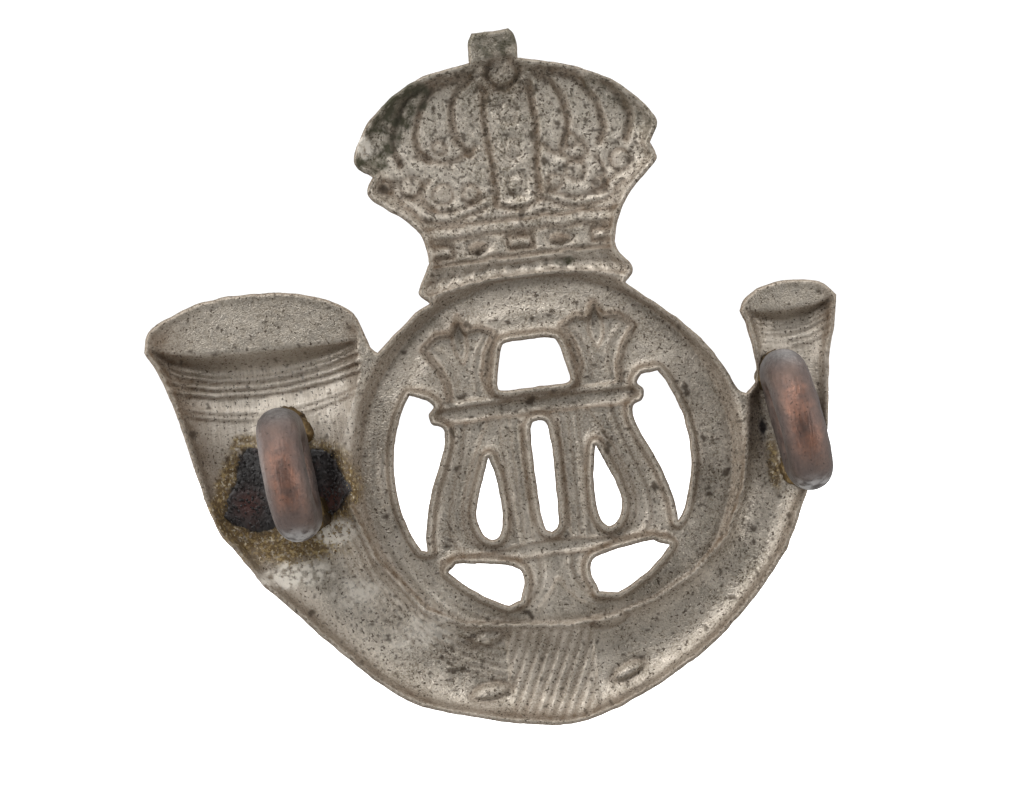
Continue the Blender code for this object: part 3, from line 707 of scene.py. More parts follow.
def eaten_away(x, z, edge):
    """How pitted the metal is, 0 to 1, and the pits and roughness it gives the back."""
    crown = step_up(z, 11.0, 15.5) * (1 - 0.5 * step_up(z, 23.0, 23.6))
    low_left = 0.5 * spot(x, z, (-8.5, -9.5), (6.0, 4.0), (0.5, 1.2))
    right = 0.45 * spot(x, z, (10.5, -3.5), (4.0, 8.0), (0.5, 1.2))
    eaten = np.clip(0.16 + 0.8 * crown + low_left + right + 0.25 * wobble(x, z, 2.6, 41), 0, 1)
    coarse = wobble(x, z, 0.55, 42)
    small = wobble(x, z, 0.3, 43)
    pits = np.maximum(step_up(coarse, 0.62 - 0.24 * eaten, 0.72 - 0.22 * eaten),
                      step_up(small, 0.57 - 0.22 * eaten, 0.66 - 0.2 * eaten))
    blotch = wobble(x, z, 0.8, 44) + 0.3 * coarse + 0.3 * small - 0.3 * (np.hypot(x, z) > 9.5)
    pits = np.maximum(pits, step_up(blotch, 0.58, 0.64))
    rough = (0.01 + 0.035 * eaten) * coarse + (0.006 + 0.02 * eaten) * small
    inside_edge = step_up(edge, 0.1, 0.4)
    return eaten, pits * inside_edge, (rough - 0.06 * pits) * inside_edge


def plate_stains(x, z, grime_and_shade, eaten, pits):
    """The values that the finish reads: stains, painted shade and painted highlight that follow the shape, for
    the back and the front.
    """
    flux = smooth_run(FLUX_EDGE, 5)
    away = distance_to(x, z, [flux]) * np.where(inside(x, z, [flux]), -1, 1)
    ragged = away + 0.4 * wobble(x, z, 0.8, 3) + 0.25 * wobble(x, z, 0.3, 4)
    soot = 1 - step_up(ragged, -0.1, 0.2)
    soot += spot(x, z, (12.6, 0.5), (0.3, 0.7), (0.6, 1.0), 0.4 * wobble(x, z, 0.4, 6))
    scale = 1 - step_up(ragged, 0.25, 1.15)
    scale += spot(x, z, (-15.0, -2.9), (3.6, 1.4), (0.5, 1.15), 0.3 * wobble(x, z, 0.7, 5))
    scale += 0.8 * spot(x, z, (-18.6, -0.3), (0.8, 2.6), (0.5, 1.1))
    scale += 0.9 * spot(x, z, (-17.3, 3.2), (0.9, 0.6), (0.5, 1.1), 0.3 * wobble(x, z, 0.5, 17))
    scale += 0.9 * spot(x, z, (13.0, -1.6), (0.5, 1.9), (0.5, 1.1))
    patchy = 0.25 * wobble(x, z, 0.9, 7) + 0.15 * wobble(x, z, 0.4, 18)
    left = 1 - step_up(distance_to(x, z, [LEFT_STAIN], closed=False) + patchy, 0.7, 1.05)
    left *= 1 - spot(x, z, BARE_PATCH, (0.5, 0.85), (0.6, 1.0))
    right = 1 - step_up(distance_to(x, z, [RIGHT_STAIN], closed=False) + patchy, 0.3, 0.9)
    above_foot = spot(x, z, (2.4, 11.45), (0.7, 0.3), (0.6, 1.1))
    tarnish = (1.3 * left + 0.35 * right + 1.2 * above_foot + 0.12 * step_up(z, 15.5, 19.5)
               + 0.12 * step_up(z, 20, 22.5) + 0.6 * step_up(z, 23.3, 23.8))
    # Brighter, smoother metal: partly rubbed wear, partly painted highlight, the crown's flanks included.
    polish_and_highlight = sum(strength * spot(x, z, *place) for strength, *place in RUBBED_AND_HIGHLIT_SPOTS)
    polish_and_highlight += 0.35 * step_up(wobble(x, z, 2.2, 8), 0.05, 0.45) * (z < -2) * (x < 9)
    polish_and_highlight += 0.4 * step_up(np.abs(x), 1.5, 3.0) * (1 - step_up(np.abs(x), 6.6, 8.0)) * step_up(z, 14.2, 15.2)
    uneven = 0.3 * wobble(x, z, 0.7, 19) + 0.2 * wobble(x, z, 0.3, 20)
    chalk = sum(strength * spot(x, z, *place, uneven) for strength, *place in CHALKY_SPOTS)
    chalk += 0.8 * spot(x, z, BARE_PATCH, (0.5, 0.8), (0.6, 1.0))
    on_back = {"grime_and_shade": grime_and_shade, "soot": soot, "scale": scale, "tarnish": tarnish, "eaten": eaten,
               "pits": pits, "polish_and_highlight": polish_and_highlight, "chalk": chalk}
    return {label: (np.clip(value, 0, 1), np.clip(value, 0, 1) * FRONT_SHARE[label])
            for label, value in on_back.items()}


def new_material(name):
    made = bpy.data.materials.new(name)
    made.use_nodes = True
    return made, made.node_tree


def fill(tree, made, values):
    """Gives a node's inputs their values: a socket is linked, anything else is set."""
    for key, value in values.items():
        if isinstance(value, bpy.types.NodeSocket):
            tree.links.new(value, made.inputs[key])
        else:
            made.inputs[key].default_value = value


def node(tree, kind, values=None, **settings):
    """Adds a node with its settings and its inputs' values."""
    made = tree.nodes.new(kind)
    for key, value in settings.items():
        setattr(made, key, value)
    fill(tree, made, values or {})
    return made


def object_place(tree):
    return node(tree, "ShaderNodeTexCoord").outputs["Object"]


def attribute(tree, name):
    return node(tree, "ShaderNodeAttribute", attribute_name=name).outputs["Fac"]


def stretched(tree, place, scale):
    """The place with a pattern on it drawn out, by less than 1 along an axis."""
    return node(tree, "ShaderNodeMapping", {"Vector": place, "Scale": scale}).outputs["Vector"]


def map_range(tree, value, ends, spread=(0, 1)):
    """A value between two ends, moved to lie in the spread."""
    return node(tree, "ShaderNodeMapRange", {
        "Value": value, "From Min": ends[0], "From Max": ends[1],
        "To Min": spread[0], "To Max": spread[1]}).outputs["Result"]


def speckle(tree, place, size, low, high, detail=3, seed=0.0):
    """Noise of a given grain in millimetres, spread between two levels: 0 below, 1 above."""
    grain = node(tree, "ShaderNodeTexNoise", {
        "Vector": place, "Scale": 1 / (size * MM), "Detail": detail, "W": seed}, noise_dimensions="4D")
    return map_range(tree, grain.outputs["Fac"], (low, high))


def mix(tree, amount, first, second):
    """Colour between first and second by amount."""
    made = node(tree, "ShaderNodeMix", data_type="RGBA")
    colours = [value if isinstance(value, bpy.types.NodeSocket) else (*value, 1)
               for value in (first, second)]
    fill(tree, made, {0: amount, 6: colours[0], 7: colours[1]})
    return made.outputs[2]


def maths(tree, operation, *values, clamp=False):
    made = node(tree, "ShaderNodeMath", dict(enumerate(values)), operation=operation, use_clamp=clamp)
    return made.outputs[0]


def times(tree, first, second):
    return maths(tree, "MULTIPLY", first, second)


def bump(tree, height, strength, depth):
    """Facing changed by a bump of the given depth in millimetres."""
    return node(tree, "ShaderNodeBump", {
        "Strength": strength, "Distance": depth * MM, "Height": height}).outputs["Normal"]


def white_metal():
    """Old nickel silver: warm grey, pitted, brown in the grooves, black and gold at the loop, with painted
    shade on its walls and steps and painted highlights and glints.
    """
    made, tree = new_material("white_metal")
    place = object_place(tree)
    grime_and_shade, soot, scale, tarnish, eaten, pits, slope, polish_and_highlight, chalk = (attribute(tree, name) for name in (
        "grime_and_shade", "soot", "scale", "tarnish", "eaten", "pits", "slope", "polish_and_highlight", "chalk"))
    brushed = speckle(tree, stretched(tree, place, (1.0, 0.3, 0.14)), 0.13, 0.36, 0.64, 3, 12.0)
    cloud = speckle(tree, place, 1.8, 0.38, 0.62, 4, 1.0)
    mottle = speckle(tree, place, 0.42, 0.38, 0.62, 4, 2.0)
    grain = speckle(tree, place, 0.10, 0.36, 0.64, 2, 3.0)
    specks = speckle(tree, place, 0.2, 0.49, 0.60, 3, 10.0)
    olive = speckle(tree, place, 0.9, 0.48, 0.60, 4, 11.0)
    grey = mix(tree, cloud, (0.345, 0.295, 0.238), (0.585, 0.52, 0.44))
    grey = mix(tree, times(tree, mottle, 0.55), grey, (0.27, 0.225, 0.168))
    grey = mix(tree, times(tree, olive, times(tree, eaten, 0.75)), grey, (0.17, 0.14, 0.09))
    grey = mix(tree, times(tree, grain, 0.6), grey, (0.72, 0.66, 0.575))
    # A pale brushed tone for rubbed metal and painted highlight.
    shine = mix(tree, brushed, (0.66, 0.58, 0.48), (0.98, 0.90, 0.79))
    grey = mix(tree, times(tree, polish_and_highlight, 0.8), grey, shine)
    # Cream specks on the metal, more where it is eaten: painted glints.
    painted_glints = times(tree, specks, maths(tree, "MULTIPLY_ADD", eaten, 0.4, 0.12))
    grey = mix(tree, painted_glints, grey, (0.92, 0.84, 0.72))
    # Brown in grooves and on steep walls: grime, with painted shade on the walls and steps.
    brown = maths(tree, "ADD", times(tree, grime_and_shade, 0.95), times(tree, slope, 0.2), clamp=True)
    brown = times(tree, brown, map_range(tree, mottle, (0, 1), (1.0, 0.65)))
    colour = mix(tree, brown, grey, mix(tree, grain, (0.145, 0.097, 0.06), (0.225, 0.165, 0.11)))
    fine_pits = speckle(tree, place, 0.15, 0.605, 0.65, 2, 5.0)
    more_pits = speckle(tree, place, 0.24, 0.585, 0.63, 3, 9.0)
    dark = maths(tree, "MAXIMUM", fine_pits, times(tree, more_pits, eaten), clamp=True)
    dark = maths(tree, "MAXIMUM", dark, pits)
    colour = mix(tree, times(tree, dark, 0.82), colour, (0.07, 0.05, 0.033))
    dull = map_range(tree, speckle(tree, place, 0.6, 0.36, 0.58, 4, 4.0), (0, 1), (0.35, 1.0))
    colour = mix(tree, times(tree, tarnish, dull), colour, (0.075, 0.07, 0.043))
    gold = times(tree, scale, speckle(tree, place, 0.3, 0.28, 0.48, 4, 6.0))
    ochre = mix(tree, specks, (0.175, 0.115, 0.048), (0.42, 0.305, 0.135))
    colour = mix(tree, times(tree, gold, 0.9), colour, ochre)
    crystal = times(tree, scale, speckle(tree, place, 0.22, 0.60, 0.66, 3, 7.0))
    colour = mix(tree, times(tree, crystal, 0.8), colour, (0.80, 0.72, 0.56))
    powder = times(tree, chalk, speckle(tree, place, 0.35, 0.40, 0.52, 4, 13.0))
    colour = mix(tree, times(tree, powder, 0.85), colour, (0.94, 0.88, 0.78))
    colour = mix(tree, soot, colour, (0.012, 0.009, 0.009))
    rough = maths(tree, "SUBTRACT", map_range(tree, mottle, (0, 1), (0.42, 0.60)),
                  times(tree, polish_and_highlight, 0.08), clamp=True)
    rough = maths(tree, "ADD", rough, times(tree, brown, 0.2), clamp=True)
    # Grime, painted shade, soot, powder and painted highlight all make the metal less metallic.
    non_metal_share = maths(tree, "ADD", times(tree, brown, 0.45), maths(tree, "MAXIMUM", soot, powder), clamp=True)
    non_metal_share = maths(tree, "MULTIPLY_ADD", polish_and_highlight, 0.78, non_metal_share, clamp=True)
    metal = maths(tree, "SUBTRACT", 0.86, times(tree, non_metal_share, 0.86), clamp=True)
    lumps = times(tree, speckle(tree, place, 0.24, 0.2, 0.8, 4, 8.0), 0.6)
    height = maths(tree, "ADD", times(tree, dark, -1.0), maths(tree, "ADD", times(tree, grain, 0.6), lumps))
    fill(tree, tree.nodes["Principled BSDF"], {
        "Base Color": colour, "Roughness": rough, "Metallic": metal,
        "Normal": bump(tree, height, 0.6, 0.04)})
    return made


edges = plate_edges()
flat, corners = triangles_between(edges, *scatter_in(edges, MESH_STEP))
x, z = flat[:, 0], flat[:, 1]
edge = distance_to(x, z, edges)
depth, grime_and_shade = strike(x, z, edge)
uneven = 0.035 * wobble(x, z, 1.6, 11) + 0.012 * wobble(x, z, 0.45, 12)
inset = np.clip(EDGE_ROUNDING - edge, 0, EDGE_ROUNDING)
rounding = EDGE_ROUNDING - np.sqrt(EDGE_ROUNDING ** 2 - inset ** 2)
eaten, pits, roughness = eaten_away(x, z, edge)
back = depth + uneven * step_up(edge, 0, 0.4) + np.maximum(roughness, -0.6 * depth) + rounding
plate_mesh = sheet_mesh("badge_plate_struck", flat, corners, back, depth + SHEET - rounding,
                        plate_stains(x, z, grime_and_shade, eaten, pits))
# Steepness at each point; the finish paints steep walls browner, partly grime and partly painted shade.
facing = read_points(plate_mesh, "normal")[:, 1]
give_values(plate_mesh, {"slope": step_up(1 - np.abs(facing), 0.06, 0.45)})
plate_mesh.materials.append(white_metal())
plate = add_object("struck_plate", plate_mesh)
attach(plate, "root")
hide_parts("badge_plate")

# ---------------------------------------------------------------- copper loops
# Each loop is a length of copper wire bent to a D, its foot lying in the bugle's hollow
# and its bow standing off the back. The copper has gone brown, with a grey skin at its ends.
WIRE_RADIUS = 1.25
LOOP_REACH = 7.4
LOOP_CORNER = 1.5
DENT_DEPTH = 0.09
DENTS_PER_METRE = 900.0
WIRE_STEPS = 150
WIRE_SIDES = 30
LOOP_LENGTHS = {"bell_loop": 7.7, "mouthpiece_loop": 8.2}
FOOT_GAP = 0.04


def loop_place(name):
    """Loop frame in metres: X across the wire, Y towards the front, Z along the foot."""
    (x0, z0), _, _, lean, seat = SEATS[name]
    return Matrix.Translation(Vector((x0, seat, z0)) * MM) @ Matrix.Rotation(math.radians(-lean), 4, "Y")


def loop_line(length, seat):
    """The wire's middle line as Y and Z from the seat: a round bow, straight legs, a flat foot."""
    bow = length / 2 - WIRE_RADIUS
    foot = -(WIRE_RADIUS + FOOT_GAP)
    top = -(seat + LOOP_REACH - WIRE_RADIUS)
    points = []
    for step in range(25):
        turn = math.pi * step / 24
        points.append((top + bow - bow * math.sin(turn), bow * math.cos(turn)))
    for end in (-1, 1):
        for step in range(9):
            turn = math.pi / 2 * (step / 8 if end == -1 else 1 - step / 8)
            points.append((foot - LOOP_CORNER * (1 - math.sin(turn)),
                           end * (bow - LOOP_CORNER * (1 - math.cos(turn)))))
    return points


def size_inputs(tree, *labels):
    """Adds an input to the nodes for each size, and gives the name that a modifier sets it by."""
    return {label: tree.interface.new_socket(
        label, in_out="INPUT", socket_type="NodeSocketFloat").identifier for label in labels}


def wire_tree(finish):
    """Nodes that sweep a round wire along a closed line and dent it a little."""
    tree = bpy.data.node_groups.new("bent_wire", "GeometryNodeTree")
    tree.interface.new_socket("Line", in_out="INPUT", socket_type="NodeSocketGeometry")
    sockets = size_inputs(tree, "Wire Radius", "Dent Depth")
    tree.interface.new_socket("Wire", in_out="OUTPUT", socket_type="NodeSocketGeometry")
    given = tree.nodes.new("NodeGroupInput").outputs
    even = node(tree, "GeometryNodeResampleCurve", {"Curve": given["Line"], "Count": WIRE_STEPS})
    round_section = node(tree, "GeometryNodeCurvePrimitiveCircle", {
        "Resolution": WIRE_SIDES, "Radius": given["Wire Radius"]})
    swept = node(tree, "GeometryNodeCurveToMesh", {
        "Curve": even.outputs[0], "Profile Curve": round_section.outputs[0]})
    place = node(tree, "GeometryNodeInputPosition").outputs[0]
    grain = node(tree, "ShaderNodeTexNoise", {"Vector": place, "Scale": DENTS_PER_METRE, "Detail": 2.0})
    push = times(tree, maths(tree, "SUBTRACT", grain.outputs["Fac"], 0.5), given["Dent Depth"])
    outward = node(tree, "GeometryNodeInputNormal").outputs[0]
    shift = node(tree, "ShaderNodeVectorMath", {0: outward, "Scale": push}, operation="SCALE")
    dented = node(tree, "GeometryNodeSetPosition", {"Geometry": swept.outputs[0], "Offset": shift.outputs[0]})
    smooth = node(tree, "GeometryNodeSetShadeSmooth", {"Geometry": dented.outputs[0]})
    real = node(tree, "GeometryNodeRealizeInstances", {"Geometry": smooth.outputs[0]})
    finished = node(tree, "GeometryNodeSetMaterial", {"Geometry": real.outputs[0], "Material": finish})
    fill(tree, tree.nodes.new("NodeGroupOutput"), {"Wire": finished.outputs[0]})
    return tree, sockets


def run_nodes(made, tree, sockets, sizes):
    """Runs the nodes on an object, with their inputs set, and gives the mesh they make."""
    modifier = made.modifiers.new(tree.name, "NODES")
    modifier.node_group = tree
    for label, size in sizes.items():
        modifier[sockets[label]] = size
    mesh = bpy.data.meshes.new_from_object(made.evaluated_get(bpy.context.evaluated_depsgraph_get()))
    bpy.data.objects.remove(made)
    return mesh


def old_copper():
    """Brown copper: redder where the bow is rubbed, grey at the ends of the loop, and a painted grey sheen on
    the wire's sides.
    """
    made, tree = new_material("old_copper")
    place = object_place(tree)
    skin_and_sheen, rubbed, frost = attribute(tree, "skin_and_sheen"), attribute(tree, "rubbed"), attribute(tree, "frost")
    blotch = speckle(tree, place, 1.2, 0.42, 0.58, 4, 21.0)
    fine = speckle(tree, place, 0.22, 0.35, 0.65, 4, 22.0)
    streak = speckle(tree, stretched(tree, place, (1.0, 0.35, 0.16)), 0.16, 0.36, 0.64, 3, 24.0)
    brown = mix(tree, rubbed, (0.155, 0.104, 0.083), (0.33, 0.165, 0.112))
    brown = mix(tree, times(tree, blotch, 0.7), brown, (0.10, 0.075, 0.068))
    brown = mix(tree, times(tree, streak, 0.35), brown, (0.27, 0.20, 0.175))
    brown = mix(tree, times(tree, fine, 0.35), brown, (0.10, 0.08, 0.072))
    grey = mix(tree, fine, (0.18, 0.17, 0.164), (0.10, 0.092, 0.088))
    patches = speckle(tree, place, 0.6, 0.42, 0.56, 4, 25.0)
    grey = mix(tree, times(tree, frost, patches), grey, (0.55, 0.54, 0.53))
    colour = mix(tree, times(tree, skin_and_sheen, map_range(tree, blotch, (0, 1), (1.0, 0.8))), brown, grey)
    pits = speckle(tree, place, 0.17, 0.64, 0.69, 2, 23.0)
    colour = mix(tree, times(tree, pits, 0.7), colour, (0.05, 0.04, 0.036))
    fill(tree, tree.nodes["Principled BSDF"], {
        "Base Color": colour, "Roughness": map_range(tree, streak, (0, 1), (0.46, 0.6)), "Metallic": 0.7,
        "Normal": bump(tree, maths(tree, "ADD", fine, streak), 0.5, 0.03)})
    return made


bent_wire, wire_sockets = wire_tree(old_copper())
for name, length in LOOP_LENGTHS.items():
    line = bpy.data.curves.new(name + "_line", "CURVE")
    line.dimensions = "3D"
    spline = line.splines.new("POLY")
    points = loop_line(length, SEATS[name][4])
    spline.points.add(len(points) - 1)
    spline.use_cyclic_u = True
    for point, (y, along) in zip(spline.points, points):
        point.co = (*(loop_place(name) @ (Vector((0, y, along)) * MM)), 1)
    mesh = run_nodes(add_object(name + "_line", line), bent_wire, wire_sockets,
                     {"Wire Radius": WIRE_RADIUS * MM, "Dent Depth": DENT_DEPTH * MM})
    upward = (read_points(mesh, "co")[:, 2] / MM - SEATS[name][0][1]) / (length / 2)
    along = np.abs(upward)
    aside = np.abs(read_points(mesh, "normal")[:, 0])
    # Grey skin at the ends of the loop; the grey on the wire's sides is a painted sheen.
    skin_and_sheen = step_up(along, 0.66, 0.96) + 0.5 * step_up(aside, 0.75, 1.0)
    rubbed = (1 - step_up(along, 0.25, 0.7)) * (1 - step_up(aside, 0.3, 0.85))
    frost = step_up(-upward, 0.66, 0.92) + 0.25 * step_up(upward, 0.86, 1.0)
    give_values(mesh, {"skin_and_sheen": np.clip(skin_and_sheen, 0, 1), "rubbed": rubbed, "frost": np.clip(frost, 0, 1)})
    mesh.shade_smooth()
    loop = add_object(name + "_wire", mesh)
    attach(loop, "root")
    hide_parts(name)

# ---------------------------------------------------------------- brazed joints
# A fillet of brazing metal at each end of each foot, run in hot and left as it set: half
# of a lump, with its flat just below the plate's surface.
FILLET_SIZES = {"bell_loop": (1.55, 0.8, 1.45), "mouthpiece_loop": (1.32, 0.85, 1.4)}
FILLET_SUNK = 0.06
FILLET_INSET = 0.2



def braze_metal():
    """Golden brown brazing metal, dark where flux has burnt onto it."""
    made, tree = new_material("braze_metal")
    place = object_place(tree)
    patch = speckle(tree, place, 0.6, 0.42, 0.58, 3, 31.0)
    fine = speckle(tree, place, 0.18, 0.35, 0.65, 3, 32.0)
    colour = mix(tree, patch, (0.24, 0.165, 0.075), (0.06, 0.045, 0.034))
    colour = mix(tree, times(tree, fine, 0.4), colour, (0.27, 0.20, 0.11))
    fill(tree, tree.nodes["Principled BSDF"], {
        "Base Color": colour, "Roughness": map_range(tree, patch, (0, 1), (0.35, 0.6)), "Metallic": 0.85,
        "Normal": bump(tree, fine, 0.5, 0.05)})
    return made


golden = braze_metal()
for name, size in FILLET_SIZES.items():
    for end, label in ((1, "upper"), (-1, "lower")):
        fillet = bmesh.new()
        bmesh.ops.create_icosphere(fillet, subdivisions=4, radius=1)
        for vert in fillet.verts:
            lump = 1 + 0.16 * noise.noise(vert.co * 1.6 + Vector((end * 5, 0, len(name))))
            lump += 0.11 * noise.noise(vert.co * 5 + Vector((0, end * 3, 0)))
            vert.co = Vector([place * half for place, half in zip(vert.co, size)]) * lump
        cut = bmesh.ops.bisect_plane(
            fillet, geom=fillet.verts[:] + fillet.edges[:] + fillet.faces[:], dist=1e-6,
            plane_co=(0, FILLET_SUNK, 0), plane_no=(0, 1, 0), clear_outer=True)
        rim = [item for item in cut["geom_cut"] if isinstance(item, bmesh.types.BMEdge)]
        bmesh.ops.edgeloop_fill(fillet, edges=rim)
        middle = Vector((0, 0, end * (LOOP_LENGTHS[name] / 2 - WIRE_RADIUS - FILLET_INSET)))
        to_place = loop_place(name) @ Matrix.Scale(MM, 4) @ Matrix.Translation(middle)
        bmesh.ops.transform(fillet, matrix=to_place, verts=fillet.verts)
        bmesh.ops.recalc_face_normals(fillet, faces=fillet.faces)
        mesh = bpy.data.meshes.new(f"{name}_{label}_fillet")
        fillet.to_mesh(mesh)
        fillet.free()
        mesh.shade_smooth()
        mesh.materials.append(golden)
        braze = add_object(mesh.name, mesh)
        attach(braze, "root")
        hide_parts(f"{name}_{label}_braze")

# ---------------------------------------------------------------- burnt flux
# Black glassy flux left in the bell's hollow round the loop when the joint was heated. It
# set as a thin broken crust, dull red in two places.
CRUST_STEP = 0.15
CRUST_THICKNESS = 0.16
CRUST_SUNK = 0.12
RED_SPOTS = [(-17.5, -0.3, 0.75), (-12.7, -0.6, 0.8)]


def burnt_flux():
    """Black, with dark red in places, and a broken gloss."""
    made, tree = new_material("burnt_flux")
    fine = speckle(tree, object_place(tree), 0.2, 0.3, 0.7, 4, 42.0)
    colour = mix(tree, attribute(tree, "redness"), (0.036, 0.034, 0.034), (0.115, 0.045, 0.036))
    colour = mix(tree, times(tree, fine, 0.3), colour, (0.11, 0.10, 0.095))
    fill(tree, tree.nodes["Principled BSDF"], {
        "Base Color": colour, "Roughness": map_range(tree, fine, (0, 1), (0.3, 0.6)), "Metallic": 0.0,
        "Normal": bump(tree, fine, 0.7, 0.06)})
    return made


outline = off_line(even_steps(smooth_run(FLUX_EDGE, 5), CRUST_STEP), 0.22, 0.1, 1.5, (3, 3, 9, 9))
crust_flat, crust_corners = triangles_between([outline], *scatter_in([outline], CRUST_STEP))
x, z = crust_flat[:, 0], crust_flat[:, 1]
floor_depth, _ = strike(x, z, distance_to(x, z, edges))
inwards = distance_to(x, z, [outline])
thickness = CRUST_THICKNESS * (1 - np.exp(-inwards / 0.25))
thickness += (0.08 * wobble(x, z, 0.5, 14) + 0.06 * wobble(x, z, 0.25, 15)) * step_up(inwards, 0, 0.3)
redness = 0.35 * step_up(wobble(x, z, 1.0, 16), 0.2, 0.5)
for px, pz, reach in RED_SPOTS:
    redness = np.maximum(redness, near(np.hypot(x - px, z - pz), 0, reach))
crust_mesh = sheet_mesh("burnt_flux_crust", crust_flat, crust_corners, floor_depth - thickness + 0.01,
                        floor_depth + CRUST_SUNK, {"redness": (redness, redness)})
crust_mesh.materials.append(burnt_flux())
crust = add_object("burnt_flux_crust", crust_mesh)
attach(crust, "root")

# ---------------------------------------------------------------- grains
# Loose grains that stuck where they landed: black ones on the burnt flux, and golden and
# white ones of dried flux round its edge and below the loop.
SCALE_EDGE = [(-18.75, -0.8), (-18.1, -2.2), (-16.8, -3.5), (-15.2, -4.1), (-13.3, -3.9), (-12.0, -3.0),
              (-11.4, -1.7), (-11.1, 0.1), (-11.5, 1.3), (-12.2, 2.5), (-13.2, 2.9), (-13.0, 2.4),
              (-12.3, 1.9), (-11.8, 0.9), (-11.6, -0.3), (-12.3, -1.1), (-13.2, -1.7), (-15.0, -1.9),
              (-16.8, -2.0), (-18.0, -1.7), (-18.75, -0.8)]
PATCH_STEP = 0.3


def flux_salt():
    """Dried flux, golden brown to white."""
    made, tree = new_material("flux_salt")
    pale = speckle(tree, object_place(tree), 0.3, 0.47, 0.6, 2, 51.0)
    fill(tree, tree.nodes["Principled BSDF"], {
        "Base Color": mix(tree, pale, (0.24, 0.155, 0.058), (0.50, 0.39, 0.20)),
        "Roughness": 0.45, "Metallic": 0.0})
    return made


def grain_tree(name, finish, seed):
    """Nodes that scatter small lumps over a surface, each turned and sized by chance."""
    tree = bpy.data.node_groups.new(name, "GeometryNodeTree")
    tree.interface.new_socket("Surface", in_out="INPUT", socket_type="NodeSocketGeometry")
    sockets = size_inputs(tree, "Grains Per Area", "Grain Radius")
    tree.interface.new_socket("Grains", in_out="OUTPUT", socket_type="NodeSocketGeometry")
    given = tree.nodes.new("NodeGroupInput").outputs
    spots = node(tree, "GeometryNodeDistributePointsOnFaces", {
        "Mesh": given["Surface"], "Density": given["Grains Per Area"], "Seed": seed})
    lump = node(tree, "GeometryNodeMeshIcoSphere", {"Radius": given["Grain Radius"], "Subdivisions": 1})
    turn = node(tree, "FunctionNodeRandomValue", {
        "Max": (6.28, 6.28, 6.28), "Seed": seed + 1}, data_type="FLOAT_VECTOR")
    size = node(tree, "FunctionNodeRandomValue", {
        "Min": (0.5, 0.5, 0.5), "Max": (1.5, 1.2, 1.5), "Seed": seed + 2}, data_type="FLOAT_VECTOR")
    placed = node(tree, "GeometryNodeInstanceOnPoints", {
        "Points": spots.outputs["Points"], "Instance": lump.outputs["Mesh"],
        "Rotation": turn.outputs[0], "Scale": size.outputs[0]})
    real = node(tree, "GeometryNodeRealizeInstances", {"Geometry": placed.outputs[0]})
    finished = node(tree, "GeometryNodeSetMaterial", {"Geometry": real.outputs[0], "Material": finish})
    fill(tree, tree.nodes.new("NodeGroupOutput"), {"Grains": finished.outputs[0]})
    return tree, sockets


for name, edge_line, finish, lift, per_area, radius, seed in (
        ("black_grains", FLUX_EDGE, crust_mesh.materials[0], CRUST_THICKNESS, 12, 0.085, 5),
        ("flux_grains", SCALE_EDGE, flux_salt(), 0.01, 9, 0.045, 8)):
    outline = even_steps(smooth_run(edge_line, 5), PATCH_STEP)
    spread, joins = triangles_between([outline], *scatter_in([outline], PATCH_STEP))
    x, z = spread[:, 0], spread[:, 1]
    height, _ = strike(x, z, distance_to(x, z, edges))
    patch_mesh = bpy.data.meshes.new(name + "_patch")
    patch_mesh.from_pydata((np.column_stack([x, height - lift, z]) * MM).tolist(), [], joins.tolist())
    mesh = run_nodes(add_object(name + "_patch", patch_mesh), *grain_tree(name, finish, seed),
                     {"Grains Per Area": per_area / MM ** 2, "Grain Radius": radius * MM})
    grains = add_object(name, mesh)
    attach(grains, "root")

# ---------------------------------------------------------------- light and floor
# A pale floor well below the badge, and soft lamps on both sides of it. The floor glows so
# that it stays plain white, and it is hidden from the badge's reflections.
FLOOR_DROP = 14 * MM
FLOOR_HALF = 3
LAMPS_AIM = Vector((0, 0, 0.004))


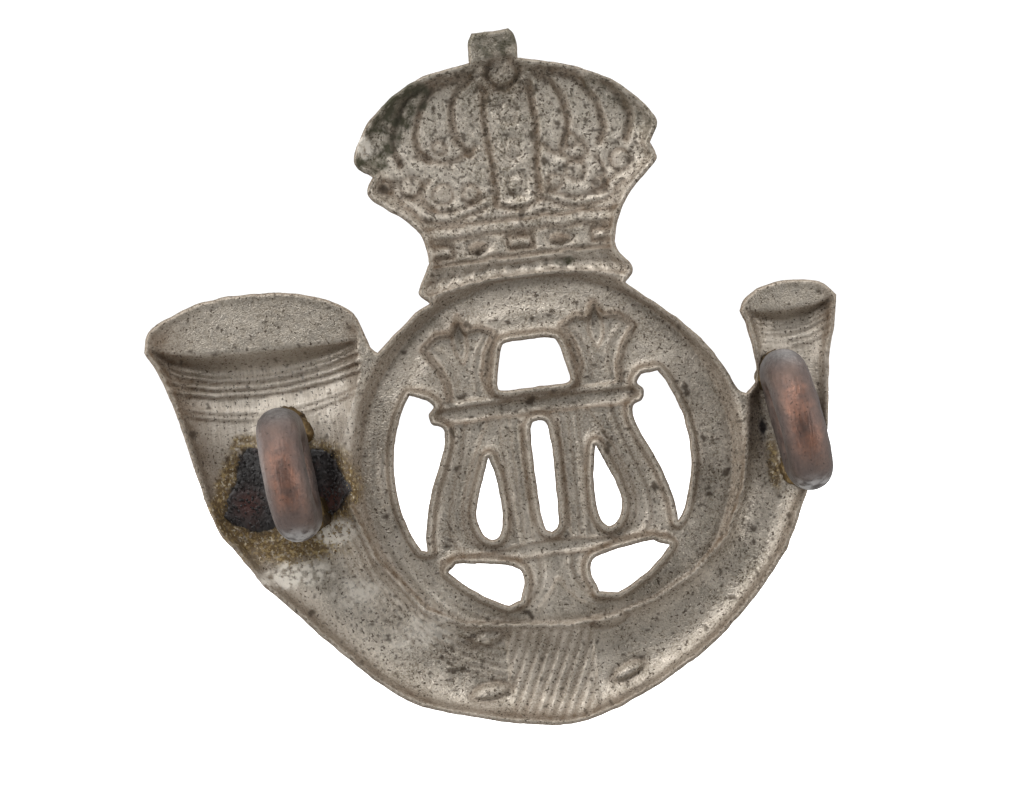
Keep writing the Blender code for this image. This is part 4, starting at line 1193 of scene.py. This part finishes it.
def lamp(name, place, size, power):
    """A round soft lamp, turned to the badge. Places and sizes are in metres."""
    data = bpy.data.lights.new(name, "AREA")
    data.shape = "DISK"
    data.size = size
    data.energy = power
    made = add_object(name, data)
    made.location = place
    made.rotation_euler = (LAMPS_AIM - Vector(place)).to_track_quat("-Z", "Y").to_euler()


lamp("top_lamp", (-0.12, -0.32, 0.42), 0.22, 1.05)
lamp("left_lamp", (-0.42, -0.22, 0.08), 0.2, 0.5)
lamp("right_lamp", (0.4, -0.22, -0.02), 0.2, 0.6)
lamp("front_top_lamp", (0.15, 0.4, 0.4), 0.3, 0.9)
lamp("front_side_lamp", (-0.4, 0.3, 0.05), 0.25, 0.5)

# The room is brighter at the sides and above than where the viewer stands, and dim in front.
world = bpy.data.worlds.new("studio")
world.use_nodes = True
world_tree = world.node_tree
seen = node(world_tree, "ShaderNodeLightPath").outputs["Is Camera Ray"]
towards = node(world_tree, "ShaderNodeTexCoord").outputs["Generated"]
heading = node(world_tree, "ShaderNodeSeparateXYZ", {0: towards}).outputs
aside = map_range(world_tree, heading[1], (-0.85, -0.15), (0.1, 1.3))
above = map_range(world_tree, heading[2], (-0.7, 0.7), (-0.1, 0.2))
past = map_range(world_tree, heading[1], (0.1, 0.7), (1.0, 0.3))
glow = maths(world_tree, "ADD", times(world_tree, aside, past), above)
strength = map_range(world_tree, seen, (0, 1), (glow, 1.1))
fill(world_tree, world_tree.nodes["Background"], {"Color": (1, 1, 1, 1), "Strength": strength})
bpy.context.scene.world = world
bpy.context.scene.view_settings.view_transform = "Standard"

floor_mesh = bpy.data.meshes.new("floor")
floor_build = bmesh.new()
bmesh.ops.create_grid(floor_build, x_segments=1, y_segments=1, size=FLOOR_HALF)
floor_build.to_mesh(floor_mesh)
floor_build.free()
floor = add_object("floor", floor_mesh)
floor.location.z = cad_low.z - FLOOR_DROP
floor_finish, floor_tree = new_material("floor_white")
fill(floor_tree, floor_tree.nodes["Principled BSDF"], {
    "Base Color": (0.9, 0.9, 0.9, 1), "Roughness": 0.9,
    "Emission Color": (1, 1, 1, 1), "Emission Strength": 1.0})
floor_mesh.materials.append(floor_finish)
floor.visible_diffuse = False
floor.visible_glossy = False
